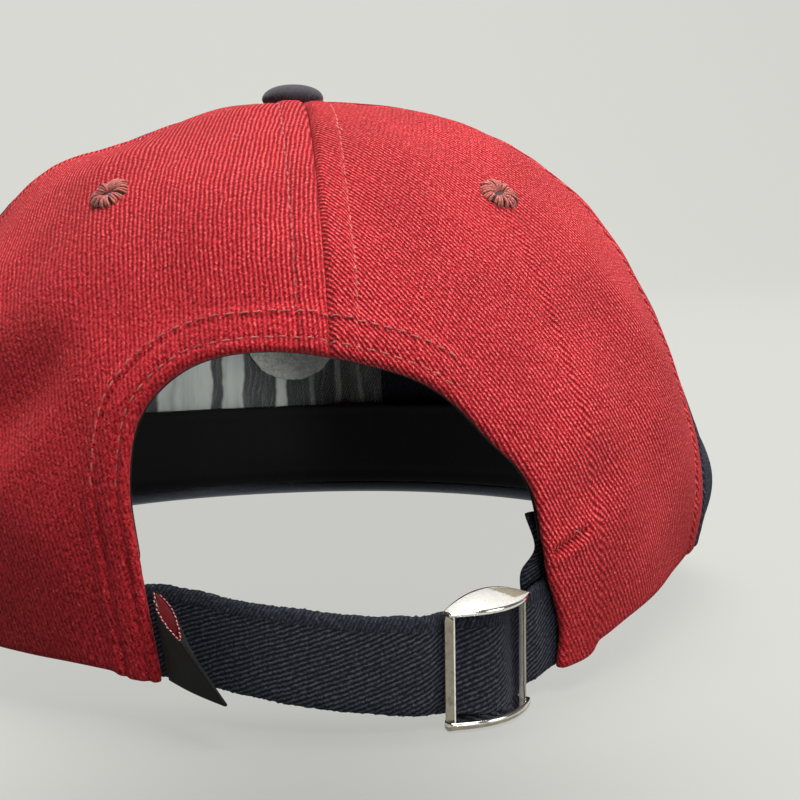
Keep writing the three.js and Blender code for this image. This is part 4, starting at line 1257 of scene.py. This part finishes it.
def add_band():
    turn, part = grid_of(np.linspace(BAND["from"], BAND["to"], 260), np.linspace(0, 1, 26))
    climb = climb_at_height(turn, BAND["gap"] + BAND["height"] * part)
    wave = 0.25 * np.sin(np.radians(turn) * 9) * part + 0.15 * np.sin(np.radians(turn) * 23 + 1) * part
    groove = 0.25 * bell(part - 0.12, 0.03) + 0.2 * bell(part - 0.9, 0.03)
    inset = CLOTH + LAYER_GAP + BAND["top_lean"] * part + wave
    outer, inner = lined(turn, climb, inset, BAND["thickness"] - groove)
    uv = stacked(arc_length(outer[:, 0])[:, None], part * BAND["height"])
    rounds = (0.3, 0.3, 0.5, 0.5)
    add_shell("sweatband_cloth", outer, inner, uv, BLACK, "sweatband", rounds)


def add_film():
    turn, part = grid_of(np.linspace(FILM["from"], FILM["to"], 200), np.linspace(0, 1, 30))
    low = climb_at_height(turn, FILM["low"])
    climb = low + (FILM["top_climb"] - low) * part
    crinkle = 0.0
    rng = np.random.default_rng(4)
    around = np.radians(turn - FILM["from"])
    for waves, amount in FILM_CRINKLES:
        crinkle = crinkle + amount * np.sin(around * waves * 6.4 + rng.uniform(*PHASES) + 1.2 * part)
    inset = CLOTH + LAYER_GAP + FILM["gap"] + 0.55 * crinkle
    outer, inner = lined(turn, climb, inset, FILM["thickness"])
    along = arc_length(outer[:, 0])
    along = along - np.interp(180.0, turn[:, 0], along)
    uv = stacked(along[:, None], np.linalg.norm(outer - outer[:, :1], axis=-1))
    rounds = (0.1, 0.1, 0.1, 0.1)
    add_shell("front_film_sheet", outer, inner, uv, CLEAR, "front_film", rounds)


def add_patch():
    climb = climb_at_level(PATCH["azimuth"], PATCH["level"])
    normal = crown_normal(PATCH["azimuth"], climb)
    centre = skin_point(PATCH["azimuth"], climb, PATCH["inset"])
    side, up = ways_on(normal)
    angle = np.linspace(0, 2 * np.pi, 72)[:, None]
    part = np.linspace(0.02, 1, 16)[None, :]
    ragged = 1 + 0.012 * np.sin(13 * angle) + 0.008 * np.sin(31 * angle + 1)
    radius = (PATCH["radius"] - PATCH_TRIM) * part * ragged
    uv = stacked(radius * np.cos(angle), radius * np.sin(angle))
    flat = centre + uv[..., :1] * side + uv[..., 1:] * up
    puff = 0.35 * (1 - part**6) + 0 * angle
    outer = flat + normal * (PATCH["thickness"] / 2 + puff[..., None] * 0.3)
    inner = flat - normal * (PATCH["thickness"] / 2 + puff[..., None])
    points, faces, uvs, _ = shell_parts(outer, inner, uv, (0.0, 0.0, 0.0, 0.4))
    mesh = make_mesh("patch", points, faces.tolist(), uvs)
    obj = add_object("round_patch_felt", mesh, FELT, "round_patch")


add_arch_tape()
add_band()
add_film()
add_patch()


# Strap and buckle
def strap_line(t):
    """Points of the strap's middle line for t from 0 to 1, a centripetal curve through the path's rows."""
    rows = np.array(STRAP_PATH)
    p = np.concatenate([[2 * rows[0] - rows[1]], rows, [2 * rows[-1] - rows[-2]]])
    last = len(rows) - 1
    at = np.clip(np.asarray(t, float), 0, 1) * last
    k = np.minimum(at.astype(int), last - 1)
    w = (at - k)[:, None]
    p0, p1, p2, p3 = p[k], p[k + 1], p[k + 2], p[k + 3]

    def span(a, b):
        return np.sum((a - b) ** 2, axis=1, keepdims=True) ** 0.25

    d0, d1, d2 = span(p0, p1), span(p1, p2), span(p2, p3)
    m1 = ((p1 - p0) / d0 - (p2 - p0) / (d0 + d1) + (p2 - p1) / d1) * d1
    m2 = ((p2 - p1) / d1 - (p3 - p1) / (d1 + d2) + (p3 - p2) / d2) * d1
    return cubic_between(p1, p2, m1, m2, w)


FINE_T = np.linspace(0, 1, 3001)
FINE_LINE = strap_line(FINE_T)
FINE_LENGTH = arc_length(FINE_LINE)
BUCKLE_T = BUCKLE_ROW / (len(STRAP_PATH) - 1)
BUCKLE_AT = float(np.interp(BUCKLE_T, FINE_T, FINE_LENGTH))


def weave(distance):
    """How far the strap stands out of its path, at a distance from the buckle's middle bar."""
    reach = np.abs(distance)
    middle = (STRAP["over_bar"] + STRAP["behind_bar"]) / 2
    swing = (STRAP["over_bar"] - STRAP["behind_bar"]) / 2
    bar_at = BUCKLE["half_width"] - BUCKLE["bar"] / 2
    over = middle + swing * np.cos(np.pi * np.minimum(reach, bar_at) / bar_at)
    fade = np.clip((reach - bar_at) / STRAP["settle"], 0, 1)
    return np.where(reach <= bar_at, over, STRAP["behind_bar"] * (1 + np.cos(np.pi * fade)) / 2)


def add_strap():
    columns, rows = 320, 26
    length = np.linspace(0, FINE_LENGTH[-1], columns)
    from_buckle = length - BUCKLE_AT
    middle = strap_line(np.interp(length, FINE_LENGTH, FINE_T))
    tangent = unit(np.gradient(middle, axis=0))
    outward = unit(np.stack([tangent[:, 1], -tangent[:, 0], np.zeros(columns)], axis=-1))
    across = unit(np.cross(tangent, outward))
    across = across * np.sign(across[:, 2:3])
    middle = middle + outward * weave(from_buckle)[:, None]
    part = np.linspace(-1, 1, rows)
    filling = STRAP_FILL * bell(from_buckle, 9.0)
    fray = np.random.default_rng(12).normal(0, 0.07, (2, columns))
    half = STRAP["width"] / 2 + filling + 0.08 * np.sin(length / 3.1) + 0.05 * np.sin(length / 1.3)
    low_fill = STRAP_LOW_FILL * smooth_step(from_buckle, 1.0, 6.0) * (1 - smooth_step(from_buckle, 7.6, 10.5))
    top_half = half + fray[0] - 0.7 * (1 - smooth_step(length, 30.0, 62.0))
    low_half = half + low_fill + fray[1]
    reach = np.where(part[None, :] > 0, top_half[:, None], low_half[:, None]) * part[None, :]
    body = middle[:, None, :] + across[:, None, :] * reach[..., None]
    body[..., 2] = np.maximum(body[..., 2], STRAP_LOWEST)
    crown = 0.12 * (1 - part**2) - 0.35 * np.abs(part) ** 14
    lip = 0.1 * bell(part - 0.74, 0.05) - 0.12 * bell(part - 0.68, 0.03)
    thick = STRAP["thickness"] / 2
    outer = body + outward[:, None, :] * (thick + crown + lip)[None, :, None]
    inner = body - outward[:, None, :] * (thick + 0.3 * crown)[None, :, None]
    uv = stacked(length[:, None], part[None, :] * STRAP["width"] / 2)
    rounds = (0.3, 0.3, 0.45, 0.45)
    add_shell("strap_webbing", outer, inner, uv, WEBBING, "strap", rounds)


def add_tail():
    level, free_edge, hidden_edge = spline(TAIL_ROWS, 46).T[:, None, :]
    part = np.linspace(0, 1, 26)[:, None]
    turn = free_edge * (1 - part) + hidden_edge * part
    level = level + 0 * part
    climb = climb_at_level(turn, level)
    bend = 0.25 * np.sin(level / 2.2 + part * 3)
    outer = skin_point(turn, climb, TAIL["inset"] + bend)
    inner = skin_point(turn, climb, TAIL["inset"] + TAIL["thickness"] + bend)
    uv = stacked(np.radians(turn - turn[:1]) * -90.0, level - 24.0)
    rounds = (0.4, 0.2, 0.4, 0.4)
    add_shell(
        "strap_tail_webbing", outer, inner, uv, WEBBING, "strap_tail", rounds
    )


# Materials of the buckle's faces, in their order on the mesh: the chrome, then copies of it with painted
# highlight, painted shade, a painted dark edge and a painted reflection
CHROME_FACE, PAINTED_HIGHLIGHT_FACE, PAINTED_SHADE_FACE, PAINTED_DARK_EDGE_FACE, PAINTED_REFLECTION_FACE = range(5)


def add_buckle():
    """A slider: a sloped lens-shaped cheek above, a flat one below, two bevelled bars and a middle bar."""
    half, wide, bar = BUCKLE["inner_half"], BUCKLE["half_width"], BUCKLE["bar"]
    at = int(round(BUCKLE_T * (len(FINE_T) - 1)))
    tangent = unit(np.gradient(FINE_LINE, axis=0))[at]
    outward = unit(np.array([tangent[1], -tangent[0], 0.0]))
    up = unit(np.cross(tangent, outward))
    up = up * np.sign(up[2])

    def place(x, depth, height):
        x, depth, height = np.broadcast_arrays(x, depth, height)
        return FINE_LINE[at] - tangent * x[..., None] + outward * depth[..., None] + up * height[..., None]

    parts = []
    kinds = []
    x = wide * np.sin(np.linspace(-1, 1, 61) * np.pi / 2)[:, None]
    share = np.linspace(0, 1, 17)[None, :]
    arc = 1 - (x / wide) ** 2
    front = bar + (BUCKLE["bulge"] - bar) * arc
    dome = 1 - np.abs(2 * share - 1) ** 2.4
    low_depth = -BUCKLE["back_bulge"] * arc * (1 - share) + front * share
    low_edge = half + BUCKLE["cheek"] * (0.8 + 0.2 * dome) + 0 * x
    top_depth = -BUCKLE["top_back"] * arc * (1 - share) + front * share
    top_edge = half - BUCKLE["lip_drop"] + BUCKLE["lip"] + BUCKLE["top_rise"] * arc * (1 - share**1.4)
    top_inner = np.maximum(top_edge - 1.0, half - BUCKLE["lip_drop"])
    middle_x, middle_share = (x[1:] + x[:-1]) / 2 / wide, (share[:, 1:] + share[:, :-1]) / 2
    # A brownish patch of the top cheek is a painted reflection
    painted_reflection = (middle_x < -0.05 - 0.45 * middle_share) & (middle_share > 0.12) & (middle_share < 0.8)
    # The rest of the top cheek gets the paler copy of the chrome, a painted highlight
    top_kind = np.where(painted_reflection, PAINTED_REFLECTION_FACE, PAINTED_HIGHLIGHT_FACE)
    # The top cheek's back edge gets the dark copy of the chrome, painted shade
    top_kind = np.where(middle_share < 0.05, PAINTED_DARK_EDGE_FACE, top_kind)
    # The whole lower cheek gets the darker copy of the chrome, painted shade
    low_kind = np.full(top_kind.shape, PAINTED_SHADE_FACE)
    # Columns: depth, outer edge, inner edge, materials of the face and of its rim's front half
    cheeks = (
        (top_depth, top_edge, top_inner, top_kind, CHROME_FACE),
        (low_depth, -low_edge, -half + 0 * low_edge, low_kind, PAINTED_SHADE_FACE),
    )
    for depth, edge, inside, face_kind, rim_face in cheeks:
        sheets = place(x, depth, edge), place(x, depth, inside)
        points, faces, _, count = shell_parts(*sheets, stacked(x, depth), (0.15, 0.15, 0.25, 0.25))
        parts.append((points, faces))
        rim_kind = np.full((4, (len(faces) - 2 * count) // 4), CHROME_FACE)
        rim_kind[:2] = rim_face
        kinds += [face_kind.ravel(), np.full(count, CHROME_FACE), rim_kind.ravel()]
    across = np.linspace(-1, 1, 11)[:, None]
    tall = np.linspace(-1, 1, 25)[None, :] * (half + 0.2)
    crown = 0.3 + (bar - 0.3) * smooth_step(across, -1.1, 0.45) - 0.3 * smooth_step(across, 0.7, 1.0)
    for side in (-1, 1):
        bar_x = side * (wide - bar / 2 - across * (bar / 2 - 0.15))
        sheets = place(bar_x, crown, tall), place(bar_x, 0.1, tall)
        points, faces, _, count = shell_parts(*sheets, stacked(bar_x, tall), (0.2, 0.15, 0.2, 0.2))
        parts.append((points, faces))
        # Part of each bar's front gets the paler copy as painted highlight and the rest the darker copy as
        # painted shade; the back and rolled edges of one bar are all painted shade, of the other all painted
        # highlight
        lit = (across[1:] > 0.35) if side > 0 else (across[1:] < 0.5)
        bar_kind = np.where(lit, PAINTED_HIGHLIGHT_FACE, PAINTED_SHADE_FACE) + np.zeros((1, tall.shape[1] - 1), int)
        kinds += [bar_kind.ravel(), np.full(len(faces) - count, PAINTED_SHADE_FACE if side > 0 else PAINTED_HIGHLIGHT_FACE)]
    centres = place(np.zeros(9), np.zeros(9), np.linspace(-half - 0.4, half + 0.4, 9))
    parts.append(join_tubes([even_tube(centres, BUCKLE["mid_bar_radius"], outward)], 20))
    points, faces = merge_parts(parts)
    kinds = np.concatenate(kinds)
    kinds = np.concatenate([kinds, np.full(len(faces) - len(kinds), PAINTED_SHADE_FACE)])
    mesh = make_mesh("buckle", points, faces, None, kinds)
    metals = [CHROME, PAINTED_HIGHLIGHT_METAL, PAINTED_SHADE_METAL, PAINTED_DARK_EDGE_METAL, PAINTED_REFLECTION_METAL]
    add_object("buckle_cast", mesh, metals, "buckle")


add_strap()
add_tail()
add_buckle()


# Folded tag at the arch's left foot
def add_tag():
    columns, rows = 41, 24
    root_top, root_low, fold_top, fold_low = (
        np.array(TAG[corner]) for corner in ("root_top", "root_low", "fold_top", "fold_low")
    )
    face = unit(np.cross(fold_top - root_top, root_low - root_top))
    down = np.linspace(0, 1, rows)
    turn = np.linspace(-1, 1, columns)
    reach = np.where(np.abs(turn) > TAG_FOLD, (1 - np.abs(turn)) / (1 - TAG_FOLD), 1.0)
    side = np.clip(turn / TAG_FOLD, -1, 1)
    out = np.minimum(reach, 1.0) + 0.06 * np.cos(side * math.pi / 2)
    gap = TAG["hollow"] * np.sin(np.pi * np.minimum(reach, 1.0)) + TAG["layer"] * 0.6
    root = root_top[None, :] * (1 - down[:, None]) + root_low[None, :] * down[:, None]
    fold = fold_top[None, :] * (1 - down[:, None]) + fold_low[None, :] * down[:, None]
    body = root[None, :, :] + (fold - root)[None, :, :] * out[:, None, None]
    sway = (np.sin(side * math.pi / 2) * gap)[:, None, None] * (1 - 0.6 * down[None, :, None])
    sheet = body + face[None, None, :] * sway
    away = unit(np.cross(np.gradient(sheet, axis=0), np.gradient(sheet, axis=1)))
    outer = sheet + away * TAG["layer"] / 2
    inner = sheet - away * TAG["layer"] / 2
    if np.sum((outer - inner) * (sheet - body.mean((0, 1)))) < 0:
        outer, inner = inner, outer
    along = arc_length(sheet[:, 0])
    uv = stacked(along[:, None], TAG_HEIGHT * down[None, :])
    points, faces, uvs, count = shell_parts(outer, inner, uv, (0.15, 0.15, 0.15, 0.15))
    kinds = np.zeros(len(faces), int)
    kinds[count:2 * count] = 1
    mesh = make_mesh("tag", points, faces.tolist(), uvs, kinds)
    obj = add_object("side_tag_loop", mesh, [TAG_BLACK, TAG_RED], "side_tag")
    area = sheet_area(outer)
    edge_line = sheet[:, 0] + (sheet[:, 0] - sheet[:, 1]) * 0.3
    rise = np.repeat(unit(edge_line[:1] - sheet[:1, 4]), columns, axis=0)
    tubes = stitch_tubes(edge_line, rise, 0.8, 0.5, 0.12, 0.05)
    add_stitches("tag_edging", tubes, LOOSE_THREAD)


add_tag()


# Floor, light and camera
def add_stage():
    bend_at, radius, wide = STAGE["bend_at"], STAGE["bend_radius"], STAGE["half_width"]
    profile = [(STAGE["front"], 0.0), (bend_at, 0.0)]
    for k in range(1, STAGE["bend_steps"] + 1):
        turn = math.pi / 2 * k / STAGE["bend_steps"]
        profile.append((bend_at - radius * math.sin(turn), radius - radius * math.cos(turn)))
    profile.append((bend_at - radius, STAGE["height"]))
    points = [(x, y, z) for y, z in profile for x in (-wide, wide)]
    faces = [(2 * k, 2 * k + 1, 2 * k + 3, 2 * k + 2) for k in range(len(profile) - 1)]
    mesh = bpy.data.meshes.new("floor")
    mesh.from_pydata(points, [], faces)
    mesh.polygons.foreach_set("use_smooth", np.full(len(faces), True))
    floor = bpy.data.objects.new("floor", mesh)
    bpy.context.scene.collection.objects.link(floor)
    s = Shader("pale_floor")
    place = s.place()
    tone = s.mix(s.noise(place, 40.0, 3.0), rgb(68, 69, 66), rgb(71, 72, 69))
    # Painted shadow: the glow is dimmed in a soft patch behind the strap
    spread = 0.0
    for value, (middle, reach) in zip(s.parts(place), FLOOR_PAINTED_SHADOW):
        away = (value - middle * MM) / (reach * MM)
        spread = away * away + spread
    painted_shadow = s.math("EXPONENT", spread * -1.0) * FLOOR_PAINTED_SHADOW_STRENGTH
    glow = (1.0 - painted_shadow) * FLOOR_GLOW
    s.set(Base_Color=tone, Roughness=0.85, Emission_Color=(1.0, 1.0, 0.95, 1.0), Emission_Strength=glow)
    s.main.inputs["Specular IOR Level"].default_value = 0.1
    floor.data.materials.append(s.material)
    floor.visible_diffuse = False


def add_light(name, place, target, size, power, cone=None):
    """A disc lamp, or a soft-edged spot where a cone in degrees is given."""
    data = bpy.data.lights.new(name, "SPOT" if cone else "AREA")
    if cone:
        data.spot_size = math.radians(cone)
        data.spot_blend = 1.0
        data.shadow_soft_size = size / 2
    else:
        data.shape = "DISK"
        data.size = size
    data.energy = power
    lamp = bpy.data.objects.new(name, data)
    bpy.context.scene.collection.objects.link(lamp)
    lamp.location = place
    lamp.rotation_euler = (Vector(target) - Vector(place)).to_track_quat("-Z", "Y").to_euler()


def add_world():
    world = bpy.data.worlds.new("studio")
    world.use_nodes = True
    background = world.node_tree.nodes["Background"]
    background.inputs[0].default_value = (0.95, 0.96, 0.95, 1.0)
    background.inputs[1].default_value = 0.16
    bpy.context.scene.world = world


def add_camera():
    data = bpy.data.cameras.new("camera")
    data.lens = CAMERA["lens"]
    data.sensor_width = CAMERA["sensor"]
    data.clip_start = 0.01
    camera = bpy.data.objects.new("camera", data)
    bpy.context.scene.collection.objects.link(camera)
    yaw, pitch, roll = CAMERA["yaw"], CAMERA["pitch"], CAMERA["roll"]
    forward = Vector((-math.sin(yaw) * math.cos(pitch), -math.cos(yaw) * math.cos(pitch), -math.sin(pitch)))
    right = Vector((-math.cos(yaw), math.sin(yaw), 0.0))
    up = right.cross(forward)
    turned_right = right * math.cos(roll) + up * math.sin(roll)
    turned_up = up * math.cos(roll) - right * math.sin(roll)
    x, y, z = CAMERA["place"]
    matrix = Matrix((turned_right, turned_up, -forward)).transposed().to_4x4()
    matrix.translation = Vector((x * MM, (y + SHIFT_Y) * MM, z * MM))
    camera.matrix_world = matrix
    bpy.context.scene.camera = camera


# Columns: name, place and target in metres, size, power, cone of a spot
LIGHTS = [
    ("key", (-0.19, 0.42, 1.05), (0.0, 0.04, 0.05), 0.7, 12.9, None),
    ("side", (-1.1, 0.7, 0.4), (0.0, 0.05, 0.05), 0.6, 3.9, None),
    ("fill", (-0.45, 1.1, 0.25), (0.0, 0.05, 0.05), 0.4, 1.2, None),
    ("arch", (-0.16, 0.95, 0.085), (-0.026, 0.12, 0.05), 0.1, 15.0, 9.0),
    ("wall", (0.0, -0.6, 2.2), (0.0, -2.0, 0.6), 1.5, 100.0, None),
]
add_stage()
add_world()
for light in LIGHTS:
    add_light(*light)
add_camera()
bpy.context.scene.view_settings.view_transform = "Standard"
